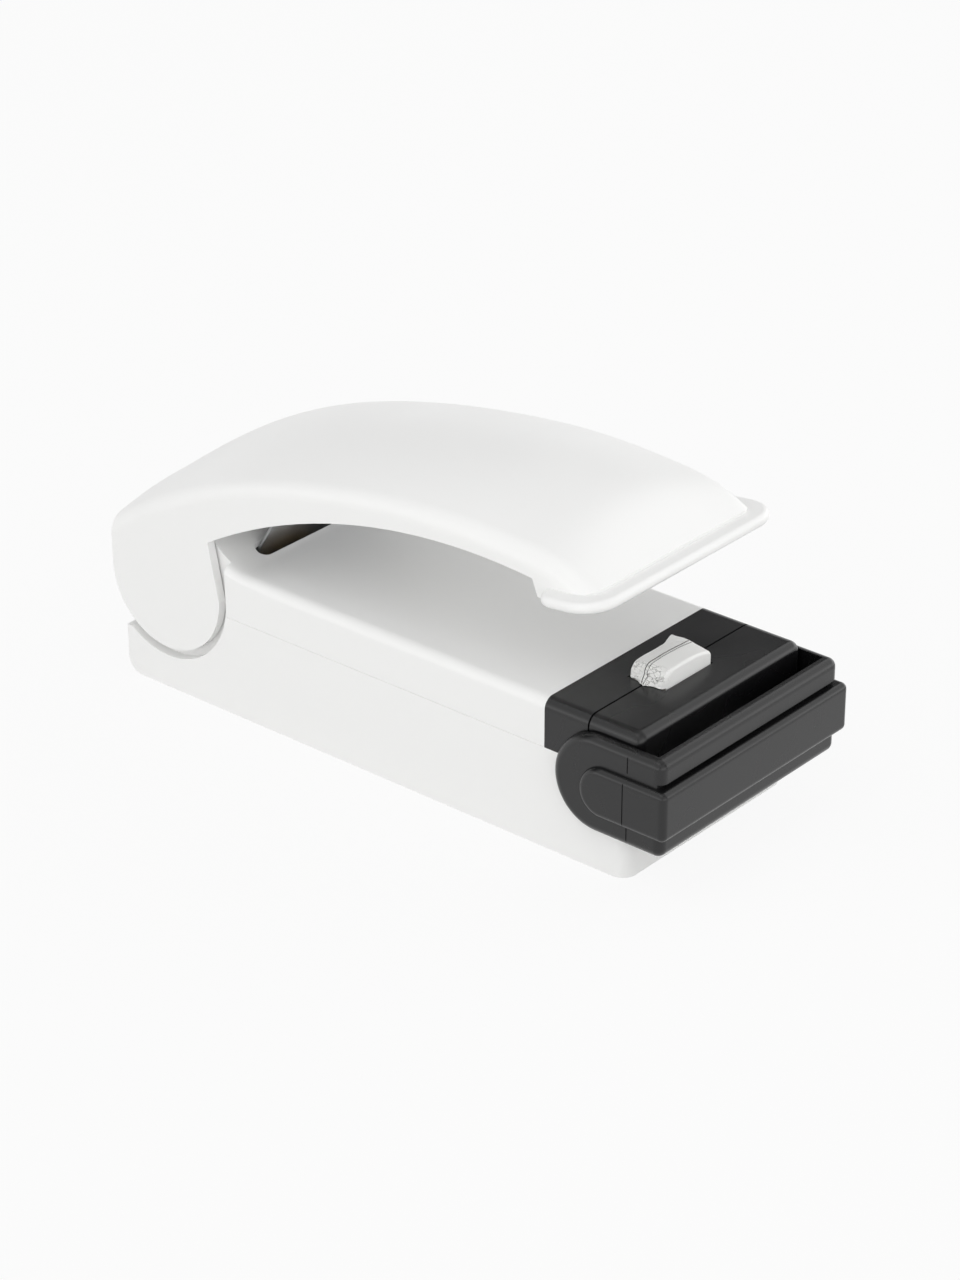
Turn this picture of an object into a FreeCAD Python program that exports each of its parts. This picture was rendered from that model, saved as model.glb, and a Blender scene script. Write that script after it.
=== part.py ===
import FreeCAD, Part
import math
import os
import Sketcher

# A palm-sized bag sealer. Frame: +X towards the sealing head, +Y across, +Z up.
# The origin is the middle of the overall length and width, on the face that it rests on.
# The handle is drawn open, as the leaf spring holds it, and the latch is drawn down.

Vector = FreeCAD.Vector
doc = FreeCAD.newDocument("bag_sealer")
sheet = doc.addObject("Spreadsheet::Sheet", "Sizes")

SIZES = [
    # case
    ("case_length", 103.7, "case, front face to rear face"),
    ("case_width", 40.0, "case across"),
    ("case_height", 25.4, "flat top above the table"),
    ("parting_height", 17.2, "joint line of the two housings"),
    ("case_wall", 1.8, "wall of both housings and the head covers"),
    ("floor_thickness", 1.85, "floor of the lower housing"),
    ("corner_round", 2.5, "upright corners"),
    ("top_round", 1.8, "long top edges"),
    ("heel_round", 3.0, "rear bottom edge"),
    ("ledge_height", 8.5, "rear ledge under the handle's skirt"),
    ("ledge_depth", 4.0, "rear ledge, from the rear face"),
    # rear hinge
    ("pivot_setback", 9.2, "hinge axis ahead of the rear face"),
    ("pivot_height", 19.2, "hinge axis above the table"),
    ("knuckle_radius", 9.9, "round rear end of the case inside the handle"),
    ("knuckle_gap", 0.4, "knuckle to the handle's skirt"),
    ("sweep_reach", 25.8, "hinge axis to where the flat top ends"),
    ("crest_reach", 8.8, "hinge axis to the upper end of the sweep"),
    ("crest_rise", 0.9, "top of the hump above the upper end of the sweep"),
    ("hump_rise", 1.9, "top of the hump above the knuckle"),
    ("slot_length", 25.0, "slot for the leaf spring"),
    ("slot_width", 3.0, "slot for the leaf spring"),
    ("slot_reach", 13.6, "hinge axis to the slot"),
    ("axle_radius", 1.5, "steel hinge axle and latch pins"),
    ("axle_play", 0.05, "radial running clearance"),
    ("axle_seat", 1.9, "depth of the blind bores in the cheeks' bosses"),
    # handle
    ("handle_wall", 1.6, "wall of the handle's shell"),
    ("cheek_thickness", 1.5, "side walls of the handle"),
    ("cheek_gap", 0.3, "cheek to the case"),
    ("recess_radius", 13.4, "round recess for a cheek"),
    ("boss_radius", 3.2, "boss round the axle inside each cheek"),
    ("boss_play", 0.3, "boss to the hole in the case"),
    ("crown_height", 52.9, "top of the handle above the table"),
    ("crown_sag", 5.8, "centre of the crown above its edges"),
    ("crown_edge_round", 3.2, "crown into the side walls"),
    ("nose_setback", 7.2, "handle's shell behind the case's front face"),
    ("nose_round", 3.5, "plan corners of the handle's front"),
    ("arch_radius", 107.0, "arched lower edge of the side walls"),
    ("arch_drop", 7.85, "crown's top to the highest point of the arch"),
    ("arch_reach", 65.8, "hinge axis to the arch's highest point"),
    ("cheek_back_lean", 2.1, "cheek's upright edge leans back by this"),
    ("lip_setback", 4.2, "front of the handle's lip behind the case's front face"),
    ("lip_drop", 9.65, "crown's top to the underside of the lip at the front"),
    ("lip_thickness", 1.9, "lip, top to bottom"),
    ("lip_side", 2.9, "lip proud of the side walls"),
    ("lip_run", 11.6, "lip along each side"),
    ("lip_corner", 5.5, "plan corners of the lip"),
    ("lip_round", 0.85, "edges of the lip"),
    ("lip_tilt", 6.3, "lip rises towards the front by these degrees"),
    ("lip_step", 1.1, "arched edge steps down to the lip over this length"),
    ("lip_lead", 2.5, "arched edge ends this far behind the lip"),
    ("lip_gap", 1.6, "closed lip above the wrapped block"),
    # head
    ("head_length", 15.7, "black covers behind the case's front face"),
    ("rear_cover_length", 8.5, "rear cover along the case"),
    ("slit_width", 0.3, "slit between the covers"),
    ("skirt_thickness", 2.3, "front cover ahead of the case"),
    ("skirt_bottom", 9.0, "lower edge of the front cover's skirt"),
    ("skirt_round", 1.5, "front edges of the front cover"),
    ("heater_near", 6.4, "cloth-wrapped block to its folded end"),
    ("heater_far", 5.1, "cloth-wrapped block to its plain end"),
    ("heater_width", 6.8, "cloth-wrapped block along the head"),
    ("heater_proud", 2.9, "cloth-wrapped block above the covers"),
    ("heater_drop", 1.2, "block's top falls towards the plain end by this"),
    ("heater_shoulder", 1.8, "round shoulder at the folded end"),
    ("heater_round", 0.7, "rounded long edges of the wrapped block"),
    ("heater_gap", 0.2, "wrapped block to its window"),
    ("cloth_thickness", 0.35, "release cloth"),
    ("wire_thickness", 0.15, "heating wires, rolled flat"),
    ("wire_width", 0.4, "heating wires"),
    ("wire_spacing", 1.0, "heating wires, centre to centre"),
    ("carrier_thickness", 1.6, "phenolic carrier plate"),
    ("carrier_height", 19.6, "underside of the carrier"),
    ("carrier_length", 10.0, "carrier along the head"),
    ("carrier_gap", 0.3, "carrier to the case screws' posts"),
    ("carrier_edge", 2.0, "carrier's ends outside its own screws"),
    # latch
    ("latch_reach", 9.2, "grip band's front ahead of the case"),
    ("band_step", 1.3, "band's front ahead of the frame's bars"),
    ("band_proud", 1.1, "band's sides outside the arms"),
    ("band_bottom", 11.0, "lower edge of the band"),
    ("band_height", 8.2, "band, bottom to top"),
    ("band_length", 16.2, "band along each side"),
    ("frame_bottom", 7.4, "lower edge of the frame"),
    ("frame_height", 16.1, "frame, bottom to top"),
    ("frame_length", 20.6, "frame along each side"),
    ("arm_gap", 0.3, "arms to the case"),
    ("arm_thickness", 1.7, "arms"),
    ("bar_thickness", 1.9, "bars of the frame"),
    ("groove_height", 0.7, "groove between the upper bar and the band"),
    ("groove_depth", 0.9, "groove between the upper bar and the band"),
    ("latch_round", 1.45, "edges of the frame"),
    ("band_round", 1.05, "edges of the band"),
    ("latch_axis_setback", 6.6, "latch axis behind the case's front face"),
    ("latch_axis_height", 15.6, "latch axis above the table"),
    ("pin_seat", 1.2, "depth of the bores in the arms"),
    ("pin_head_radius", 2.5, "heads of the latch pins"),
    ("pin_head_thickness", 1.0, "heads of the latch pins"),
    # cells and their bay
    ("cell_radius", 7.1, "AA cell"),
    ("cell_length", 50.0, "AA cell with its nub"),
    ("nub_radius", 2.75, "AA cell's positive nub"),
    ("nub_length", 1.2, "AA cell's positive nub"),
    ("cell_spacing", 15.2, "cells, centre to centre"),
    ("cell_gap", 0.3, "cells to the door and the bay cover"),
    ("bay_setback", 6.2, "bay ahead of the rear face"),
    ("bay_half_width", 16.6, "bay's side walls from the middle"),
    ("spring_room", 2.6, "each end of the bay"),
    ("contact_thickness", 0.4, "sheet contacts"),
    ("contact_width", 9.0, "sheet contacts"),
    ("spring_wire", 0.35, "radius of the cell springs' wire"),
    ("spring_radius", 2.6, "cell springs, to the middle of the wire"),
    ("partition_thickness", 1.5, "wall between the bay and the head"),
    ("cover_thickness", 0.7, "bay cover"),
    ("cover_ledge", 0.8, "bay cover's seat on each side"),
    # battery door
    ("door_half_width", 15.3, "door's outer face"),
    ("tongue_width", 2.0, "door's side tongues"),
    ("tongue_height", 1.0, "underside of the tongues above the table"),
    ("door_thickness", 1.7, "door"),
    ("door_gap", 0.15, "door to its grooves"),
    ("grip_depth", 0.5, "finger grooves on the door"),
    ("grip_pitch", 2.0, "finger grooves, one to the next"),
    ("grip_length", 10.0, "grooved area along the door"),
    ("grip_setback", 3.0, "grooved area ahead of the heel"),
    # leaf spring and its fixing
    ("leaf_thickness", 0.5, "spring steel leaf"),
    ("leaf_width", 22.0, "spring steel leaf"),
    ("leaf_angle", 60.0, "leaf above the horizontal, in degrees"),
    ("leaf_foot", 6.0, "flat foot of the leaf"),
    ("leaf_curl", 4.0, "radius of the leaf's curled end"),
    ("leaf_play", 0.1, "top of the leaf's curled end below the handle's ceiling"),
    ("clamp_thickness", 1.0, "clamp bar over the leaf's foot"),
    ("clamp_screw_spacing", 12.0, "clamp bar's screws, centre to centre"),
    # fasteners and leads
    ("screw_radius", 1.0, "small screws' shanks"),
    ("screw_head_radius", 1.9, "small screws' heads"),
    ("screw_head_height", 1.1, "small screws' heads"),
    ("boss_outer_radius", 2.6, "screw bosses"),
    ("strip_gap", 2.4, "switch strip ahead of the leaf's foot"),
    ("strip_rise", 3.6, "switch strip above the bay cover"),
    ("case_screw_inset", 5.6, "case screws from the side faces"),
    ("case_screw_depth", 5.0, "case screws' heads above the table"),
    ("front_screw_setback", 3.2, "front case screws behind the front face"),
    ("rear_screw_setback", 36.0, "rear case screws behind the front face"),
    ("screw_play", 0.1, "screws in their holes"),
    ("lead_radius", 0.7, "insulated leads"),
    ("lead_straight", 8.0, "leads straight out of the partition"),
    ("lead_run", 18.0, "leads to the end of their first rise"),
    ("lead_rise", 3.0, "leads' first rise"),
    ("lead_spacing", 9.1, "leads at the carrier, centre to centre"),
    ("lead_end_gap", 2.0, "leads' ends before the slit, and their last bend before the head"),
    # fine lines
    ("line_width", 0.2, "joint line of the housings and witness lines of the latch"),
    ("line_depth", 0.12, "the same lines"),
    ("latch_line", 6.45, "latch's witness lines behind its front bar"),
    # press pad
    ("pad_length", 15.0, "silicone pad across"),
    ("pad_width", 7.4, "silicone pad along the head"),
    ("pad_thickness", 1.6, "silicone pad"),
    ("pad_gap", 0.3, "closed pad above the wrapped block"),
    ("pad_margin", 0.4, "pad's holder beyond the pad"),
    ("pad_front_gap", 0.3, "pad and its holder to the front of the nose, inside"),
    ("holder_play", 0.15, "pad's holder below the handle's ceiling"),
]

# The crown, from the handle's rear to its front: share of the length, of the height and of the sag.
CROWN = [
    (0.000, 0.563, 0.55),
    (0.068, 0.658, 0.66),
    (0.128, 0.737, 0.83),
    (0.229, 0.839, 0.98),
    (0.390, 0.936, 0.98),
    (0.572, 0.991, 0.88),
    (0.753, 0.998, 0.72),
    (0.854, 0.975, 0.55),
    (0.915, 0.949, 0.40),
    (0.959, 0.909, 0.21),
    (1.000, 0.858, 0.02),
]


class Dim:
    """A length or an angle: its value and the sheet expression that gives it."""

    def __init__(self, value, text):
        self.value = value
        self.text = text

    def joined(self, sign, other, value, swap=False):
        left, right = (other.text, self.text) if swap else (self.text, other.text)
        return Dim(value, "(" + left + " " + sign + " " + right + ")")

    def __add__(self, other):
        other = dim(other)
        return self.joined("+", other, self.value + other.value)

    def __radd__(self, other):
        return dim(other) + self

    def __sub__(self, other):
        other = dim(other)
        return self.joined("-", other, self.value - other.value)

    def __rsub__(self, other):
        return dim(other) - self

    def __mul__(self, other):
        other = dim(other)
        return self.joined("*", other, self.value * other.value)

    def __rmul__(self, other):
        return self * other

    def __truediv__(self, other):
        other = dim(other)
        return self.joined("/", other, self.value / other.value)

    def __neg__(self):
        return self * -1

    def root(self):
        return Dim(math.sqrt(self.value), "sqrt(" + self.text + ")")

    def cosine(self):
        return Dim(math.cos(math.radians(self.value)), "cos(" + self.text + " * 1deg)")

    def sine(self):
        return Dim(math.sin(math.radians(self.value)), "sin(" + self.text + " * 1deg)")


def dim(number):
    """A Dim as it is, or a plain number as a Dim."""
    if isinstance(number, Dim):
        return number
    return Dim(float(number), "(" + repr(float(number)) + ")")


def leg(hypotenuse, side):
    """The other short side of a right-angled triangle."""
    return (hypotenuse * hypotenuse - side * side).root()


derived_sizes = []
for row, (alias, value, meaning) in enumerate(SIZES, start=1):
    sheet.set("A" + str(row), meaning)
    sheet.set("B" + str(row), str(value))
    sheet.setAlias("B" + str(row), alias)
doc.recompute()


def size(alias):
    """A driving size from the sheet."""
    return Dim(float(sheet.get(alias)), "Sizes." + alias)


def derived(alias, amount, meaning):
    """A size worked out from others, kept in the sheet under its own name."""
    row = str(len(SIZES) + len(derived_sizes) + 1)
    sheet.set("A" + row, meaning)
    sheet.set("B" + row, "=" + amount.text.replace("Sizes.", ""))
    sheet.setAlias("B" + row, alias)
    derived_sizes.append(alias)
    return Dim(amount.value, "Sizes." + alias)


# ---------------------------------------------------------------- drawing helpers

ON_XY = "XY_Plane"
ON_XZ = "XZ_Plane"
ON_YZ = "YZ_Plane"
NORMALS = {ON_XY: 1, ON_XZ: -1, ON_YZ: 1}
UP = 1
DOWN = -1
BOTH = 0
HALF = 0.5
COS_45 = math.sqrt(HALF)
parts = []


def bind(feature, name, amount):
    """Ties a property of a feature to the sheet."""
    feature.setExpression(name, dim(amount).text)


def new_body(label):
    """A sub-part: a body whose label is the name of its file."""
    body = doc.addObject("PartDesign::Body", label)
    body.Label = label
    parts.append(body)
    return body


def new_sketch(body, role, offset=None):
    """A sketch on one of the body's own planes, moved along the plane's normal."""
    sketch = body.newObject("Sketcher::SketchObject", body.Label + "_sketch")
    support = [p for p in body.Origin.OriginFeatures if p.Role == role][0]
    sketch.AttachmentSupport = [(support, "")]
    sketch.MapMode = "FlatFace"
    if offset is not None:
        sketch.AttachmentOffset = FreeCAD.Placement(Vector(0, 0, dim(offset).value), FreeCAD.Rotation())
        bind(sketch, "AttachmentOffset.Base.z", offset)
    return sketch


def place(sketch, geometry, position, x, y):
    """Fixes one point of a sketch at x, y and ties both to the sheet."""
    for kind, amount in (("DistanceX", dim(x)), ("DistanceY", dim(y))):
        number = sketch.addConstraint(Sketcher.Constraint(kind, geometry, position, amount.value))
        sketch.setExpression("Constraints[" + str(number) + "]", amount.text)


def point(x, y):
    return Vector(dim(x).value, dim(y).value, 0)


def trace(sketch, start, steps, closed=True):
    """An outline. Each step is an end point (a line), or a middle and an end point (an arc)."""
    first = None
    last = None
    at = start
    for step in steps:
        is_arc = isinstance(step[0], tuple)
        end = step[-1] if is_arc else step
        if is_arc:
            middle = step[0]
            through = Part.Arc(point(*at), point(*middle), point(*end))
            number = sketch.addGeometry(through)
            start_position, end_position = arc_ends(sketch, number, at)
            witness = sketch.addGeometry(Part.Point(point(*middle)), True)
            place(sketch, witness, 1, *middle)
            sketch.addConstraint(Sketcher.Constraint("PointOnObject", witness, 1, number))
        else:
            number = sketch.addGeometry(Part.LineSegment(point(*at), point(*end)))
            start_position, end_position = 1, 2
        place(sketch, number, end_position, *end)
        if last is None:
            first = (number, start_position)
        else:
            sketch.addConstraint(Sketcher.Constraint("Coincident", last[0], last[1], number, start_position))
        last = (number, end_position)
        at = end
    if closed:
        sketch.addConstraint(Sketcher.Constraint("Coincident", last[0], last[1], first[0], first[1]))
    else:
        place(sketch, first[0], first[1], *start)
    return sketch


def arc_ends(sketch, number, start):
    """Which end of a new arc lies at the start point: arcs are stored anticlockwise."""
    if sketch.getPoint(number, 1).distanceToPoint(point(*start)) < 1e-6:
        return 1, 2
    return 2, 1


def box_steps(x0, x1, y0, y1):
    """Start point and steps of a rectangle."""
    return (x0, y0), [(x1, y0), (x1, y1), (x0, y1), (x0, y0)]


def ring(sketch, x, y, radius):
    """A circle tied to the sheet."""
    radius = dim(radius)
    number = sketch.addGeometry(Part.Circle(point(x, y), Vector(0, 0, 1), radius.value))
    place(sketch, number, 3, x, y)
    held = sketch.addConstraint(Sketcher.Constraint("Radius", number, radius.value))
    sketch.setExpression("Constraints[" + str(held) + "]", radius.text)
    return sketch


def extrude(body, kind, sketch, length, towards):
    """Moves a sketch up or down its plane's axis, or both ways about it."""
    sign = NORMALS[sketch.AttachmentSupport[0][0].Role] * (1 if kind == "Pad" else -1)
    feature = body.newObject("PartDesign::" + kind, body.Label + "_" + kind.lower())
    feature.Profile = sketch
    feature.SideType = "Symmetric" if towards == BOTH else "One side"
    feature.Reversed = towards * sign < 0
    feature.Length = dim(length).value
    bind(feature, "Length", length)
    sketch.Visibility = False
    return feature


def pad(body, sketch, length, towards=UP):
    return extrude(body, "Pad", sketch, length, towards)


def pocket(body, sketch, length, towards=UP):
    """A cut. It has to take something away, so the volumes are compared."""
    doc.recompute()
    before = body.Shape.Volume
    feature = extrude(body, "Pocket", sketch, length, towards)
    doc.recompute()
    if not body.Shape.Volume < before - 1e-6:
        raise ValueError(body.Label + ": a pocket cuts nothing")
    return feature


def round_edges(body, radius, chosen):
    """Fillets the edges of the body's last shape for which chosen(edge) is true."""
    doc.recompute()
    base = body.Tip
    names = ["Edge" + str(n) for n, e in enumerate(base.Shape.Edges, start=1) if chosen(e)]
    if not names:
        raise ValueError(body.Label + ": no edge to round")
    feature = body.newObject("PartDesign::Fillet", body.Label + "_fillet")
    feature.Base = (base, names)
    feature.Radius = dim(radius).value
    bind(feature, "Radius", radius)
    return feature


def is_near(value, target):
    return abs(value - dim(target).value) < 0.02


def spans(edge, axis):
    """The lowest and highest coordinate of an edge along one axis."""
    ends = edge.BoundBox
    return {"x": (ends.XMin, ends.XMax), "y": (ends.YMin, ends.YMax), "z": (ends.ZMin, ends.ZMax)}[axis]


def lies_at(edge, axis, target):
    """True if the whole edge lies at one coordinate."""
    low, high = spans(edge, axis)
    return is_near(low, target) and is_near(high, target)


# ---------------------------------------------------------------- shared places

case_length = size("case_length")
case_half_width = size("case_width") * HALF
case_height = size("case_height")
parting = size("parting_height")
wall = size("case_wall")
knuckle_radius = size("knuckle_radius")
skirt_inner_radius = knuckle_radius + size("knuckle_gap")
cheek_radius = skirt_inner_radius + size("handle_wall")
handle_overhang = cheek_radius - size("pivot_setback")
overall_length = handle_overhang + case_length + size("latch_reach")
case_rear = derived("case_rear", handle_overhang - overall_length * HALF, "rear face")
case_front = derived("case_front", case_rear + case_length, "front face")
pivot_x = derived("pivot_x", case_rear + size("pivot_setback"), "hinge axis")
pivot_z = size("pivot_height")
inner_half_width = case_half_width - wall
cheek_recess = size("cheek_thickness") + size("cheek_gap")
hinge_wall_outer = case_half_width - cheek_recess
bay_half_width = size("bay_half_width")
head_rear = case_front - size("head_length")
slit_x = head_rear + size("rear_cover_length")
skirt_front = case_front + size("skirt_thickness")
latch_axis_x = case_front - size("latch_axis_setback")
latch_axis_z = size("latch_axis_height")
arm_inner = case_half_width + size("arm_gap")
bay_rear = case_rear + size("bay_setback")
cell_rear = bay_rear + size("spring_room")
cell_front = cell_rear + size("cell_length")
bay_front = cell_front + size("spring_room")
partition_front = bay_front + size("partition_thickness")
cell_z = size("door_thickness") + size("cell_gap") + size("cell_radius")
cell_y = size("cell_spacing") * HALF
cover_bottom = parting - size("cover_thickness")
case_screw_y = case_half_width - size("case_screw_inset")
carrier_end = derived(
    "carrier_end",
    case_screw_y - size("boss_outer_radius") - size("carrier_gap"),
    "carrier's ends from the middle",
)
post_y = carrier_end - size("carrier_edge")
sweep_run = size("sweep_reach") - size("crest_reach")
crest_top = derived("crest_top", pivot_z + knuckle_radius + size("hump_rise"), "top of the hump")
sweep_rise = crest_top - size("crest_rise") - case_height
sweep_radius = derived(
    "sweep_radius",
    (sweep_run * sweep_run + sweep_rise * sweep_rise) / (sweep_rise * 2),
    "hollow sweep from the flat top to the hump",
)
case_screw_rows = (case_front - size("front_screw_setback"), case_front - size("rear_screw_setback"))
sweep_x = pivot_x + size("sweep_reach")
door_front = bay_front - size("contact_thickness")
lip_front = case_front - size("lip_setback")
lip_rear = lip_front - size("lip_run")
lip_height = size("crown_height") - size("lip_drop")
nose_front = case_front - size("nose_setback")
below = -5.0
above = 70.0
CREST_REAR = 105
KNUCKLE_BACK = 150
KNUCKLE_LOW = 215
SKIRT_TIP = 235


def on_circle(radius, degrees):
    """A point on a circle round the hinge axis, at a fixed angle from +X."""
    angle = math.radians(degrees)
    return pivot_x + radius * math.cos(angle), pivot_z + radius * math.sin(angle)


def sweep_height(run):
    """Height of the hollow sweep at a distance behind the end of the flat top."""
    return case_height + sweep_radius - leg(sweep_radius, dim(run))


# ---------------------------------------------------------------- case


def lower_housing():
    """White tray: floor, walls, cell bay, screw bosses and carrier posts."""
    body = new_body("lower_housing")
    heel = size("heel_round")
    ledge = size("ledge_height")
    ledge_front = case_rear + size("ledge_depth")
    knuckle_at_ledge = pivot_z - leg(knuckle_radius, pivot_x - ledge_front)
    knuckle_at_parting = pivot_x - leg(knuckle_radius, pivot_z - parting)
    side = new_sketch(body, ON_XZ)
    trace(
        side,
        (case_front, dim(0)),
        [
            (case_front, parting),
            (knuckle_at_parting, parting),
            (on_circle(knuckle_radius, KNUCKLE_LOW), (ledge_front, knuckle_at_ledge)),
            (ledge_front, ledge),
            (case_rear, ledge),
            (case_rear, heel),
            ((case_rear + heel * (1 - COS_45), heel * (1 - COS_45)), (case_rear + heel, dim(0))),
            (case_front, dim(0)),
        ],
    )
    pad(body, side, case_half_width * 2, BOTH)
    round_edges(body, size("corner_round"), lambda e: lies_at(e, "x", case_front) and spans(e, "z")[1] > 1)
    cavities = [
        (bay_rear, bay_front, bay_half_width, size("floor_thickness")),
        (partition_front, case_front - wall, inner_half_width, size("floor_thickness")),
        (bay_rear, bay_front, bay_half_width + size("cover_ledge"), cover_bottom),
    ]
    for rear, front, half, bottom in cavities:
        sketch = new_sketch(body, ON_XY, bottom)
        trace(sketch, *box_steps(rear, front, -half, half))
        pocket(body, sketch, parting - bottom)
    for way in (1, -1):
        cheek_recess_cut(body, way)
    door_opening(body)
    for x in case_screw_rows:
        screw_bosses(body, x, case_screw_y, parting)
    screw_bosses(body, slit_x, post_y, size("carrier_height"))
    screw_holes(body)
    boss_holes(body)
    latch_pin_holes(body)
    return body


def cheek_recess_cut(body, way):
    """Round recess in a side face, where a cheek of the handle turns."""
    radius = size("recess_radius")
    sketch = new_sketch(body, ON_XZ, -way * hinge_wall_outer)
    lean = size("cheek_back_lean") * HALF
    trace(
        sketch,
        (pivot_x + radius, pivot_z),
        [
            (pivot_x + radius - lean, dim(above)),
            (case_rear - radius, dim(above)),
            (case_rear - radius, pivot_z),
            (pivot_x - radius, pivot_z),
            ((pivot_x, pivot_z - radius), (pivot_x + radius, pivot_z)),
        ],
    )
    pocket(body, sketch, cheek_recess * 2, way)


def door_opening(body):
    """Opening in the floor, with a groove each side that runs out through the rear face."""
    gap = size("door_gap")
    opening = size("door_half_width") + gap
    groove = size("door_half_width") + size("tongue_width") + gap
    ceiling = size("floor_thickness")
    low = size("tongue_height") - gap
    sketch = new_sketch(body, ON_YZ, case_rear - 1)
    trace(
        sketch,
        (-opening, dim(below)),
        [
            (opening, dim(below)),
            (opening, low),
            (groove, low),
            (groove, ceiling),
            (-groove, ceiling),
            (-groove, low),
            (-opening, low),
            (-opening, dim(below)),
        ],
    )
    pocket(body, sketch, door_front + gap - case_rear + 1)


def screw_bosses(body, x, y, top):
    """A pair of round posts standing on the floor."""
    for way in (1, -1):
        sketch = new_sketch(body, ON_XY, size("floor_thickness") * HALF)
        ring(sketch, x, y * way, size("boss_outer_radius"))
        pad(body, sketch, top - size("floor_thickness") * HALF)


def screw_holes(body):
    """Counterbored holes for the case screws, and blind holes in the carrier posts."""
    shank = size("screw_radius") + size("screw_play")
    head = size("screw_head_radius") + size("screw_play")
    for way in (1, -1):
        for x in case_screw_rows:
            for radius, length in ((head, size("case_screw_depth")), (shank, parting)):
                sketch = new_sketch(body, ON_XY)
                ring(sketch, x, case_screw_y * way, radius)
                pocket(body, sketch, length)
        sketch = new_sketch(body, ON_XY, size("carrier_height"))
        ring(sketch, slit_x, post_y * way, size("screw_radius") + size("screw_play"))
        pocket(body, sketch, carrier_screw_length(), DOWN)


def carrier_screw_length():
    return size("carrier_thickness") * 3


def latch_pin_holes(body):
    """Holes through the side walls for the latch pins."""
    sketch = new_sketch(body, ON_XZ)
    ring(sketch, latch_axis_x, latch_axis_z, size("axle_radius"))
    pocket(body, sketch, case_half_width * 2, BOTH)


def upper_housing():
    """White lid: flat top, hollow sweep to the hump, slot, knuckle and axle holes."""
    body = new_body("upper_housing")
    crest_rear = on_circle(knuckle_radius, CREST_REAR)
    run = sweep_run
    crest_front_x = sweep_x - run
    crest_middle_x = (crest_front_x + crest_rear[0]) * HALF
    knuckle_at_parting = pivot_x - leg(knuckle_radius, pivot_z - parting)
    side = new_sketch(body, ON_XZ)
    trace(
        side,
        (head_rear, parting),
        [
            (head_rear, case_height),
            (sweep_x, case_height),
            ((sweep_x - run * HALF, sweep_height(run * HALF)), (crest_front_x, sweep_height(run))),
            (crest_front_x, parting),
            (head_rear, parting),
        ],
    )
    pad(body, side, case_half_width * 2, BOTH)
    half = case_half_width.value
    round_edges(
        body,
        size("top_round"),
        lambda e: (lies_at(e, "y", half) or lies_at(e, "y", -half))
        and spans(e, "z")[0] > case_height.value - 0.1,
    )
    hump = new_sketch(body, ON_XZ)
    trace(
        hump,
        (crest_front_x, parting),
        [
            (crest_front_x, sweep_height(run)),
            ((crest_middle_x, crest_top), crest_rear),
            (on_circle(knuckle_radius, KNUCKLE_BACK), (knuckle_at_parting, parting)),
            (crest_front_x, parting),
        ],
    )
    pad(body, hump, case_half_width * 2, BOTH)
    hollow_upper_housing(body, crest_front_x, crest_middle_x)
    for way in (1, -1):
        cheek_recess_cut(body, way)
    boss_holes(body)
    axle_lugs(body)
    leaf_slot(body)
    for way in (1, -1):
        cover_screw_post(body, case_screw_rows[1], way)
        joint_line(body, way)
    return body


def joint_line(body, way):
    """Fine line where the two housings meet."""
    sketch = new_sketch(body, ON_XY, parting)
    edge = (case_half_width - size("line_depth")) * way
    trace(sketch, *box_steps(case_rear, head_rear, edge, case_half_width * 2 * way))
    pocket(body, sketch, size("line_width"))


def hollow_upper_housing(body, crest_front_x, crest_middle_x):
    """The inside, wide under the flat top and narrower between the cheek recesses."""
    inner_radius = knuckle_radius - wall
    run = sweep_run
    neck_x = pivot_x + size("recess_radius") + wall
    ceiling = case_height - wall
    neck_run = sweep_x - neck_x
    wide = new_sketch(body, ON_XZ)
    trace(
        wide,
        (head_rear, parting),
        [
            (head_rear, ceiling),
            (sweep_x, ceiling),
            ((sweep_x - neck_run * HALF, sweep_height(neck_run * HALF) - wall),
             (neck_x, sweep_height(neck_run) - wall)),
            (neck_x, parting),
            (head_rear, parting),
        ],
    )
    pocket(body, wide, inner_half_width * 2, BOTH)
    narrow = new_sketch(body, ON_XZ)
    inner_at_parting = pivot_x - leg(inner_radius, pivot_z - parting)
    trace(
        narrow,
        (neck_x + 1, parting),
        [
            (neck_x + 1, sweep_height(neck_run) - wall),
            (neck_x, sweep_height(neck_run) - wall),
            (crest_front_x, sweep_height(run) - wall),
            ((crest_middle_x, crest_top - wall), on_circle(inner_radius, CREST_REAR)),
            (on_circle(inner_radius, KNUCKLE_BACK), (inner_at_parting, parting)),
            (neck_x + 1, parting),
        ],
    )
    pocket(body, narrow, bay_half_width * 2, BOTH)


def boss_holes(body):
    """Wide holes in the hinge walls, where the cheeks' bosses turn."""
    sketch = new_sketch(body, ON_XZ)
    ring(sketch, pivot_x, pivot_z, size("boss_radius") + size("boss_play"))
    pocket(body, sketch, case_half_width * 2, BOTH)


def axle_lugs(body):
    """Two inner lugs that carry the axle."""
    lug_outer = bay_half_width - boss_reach() - size("boss_play")
    for way in (1, -1):
        sketch = new_sketch(body, ON_XZ, -way * lug_outer)
        ring(sketch, pivot_x, pivot_z, size("boss_radius"))
        lug_top = crest_top - wall
        pad(body, sketch, wall, -way)
        web = new_sketch(body, ON_XZ, -way * lug_outer)
        trace(web, *box_steps(pivot_x - wall, pivot_x + wall, pivot_z, lug_top))
        pad(body, web, wall, -way)
    bore = new_sketch(body, ON_XZ)
    ring(bore, pivot_x, pivot_z, size("axle_radius") + size("axle_play"))
    pocket(body, bore, lug_outer * 2, BOTH)


def boss_reach():
    """How far the cheeks' bosses reach inside the hinge walls."""
    return size("axle_seat") - size("cheek_gap")


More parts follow.
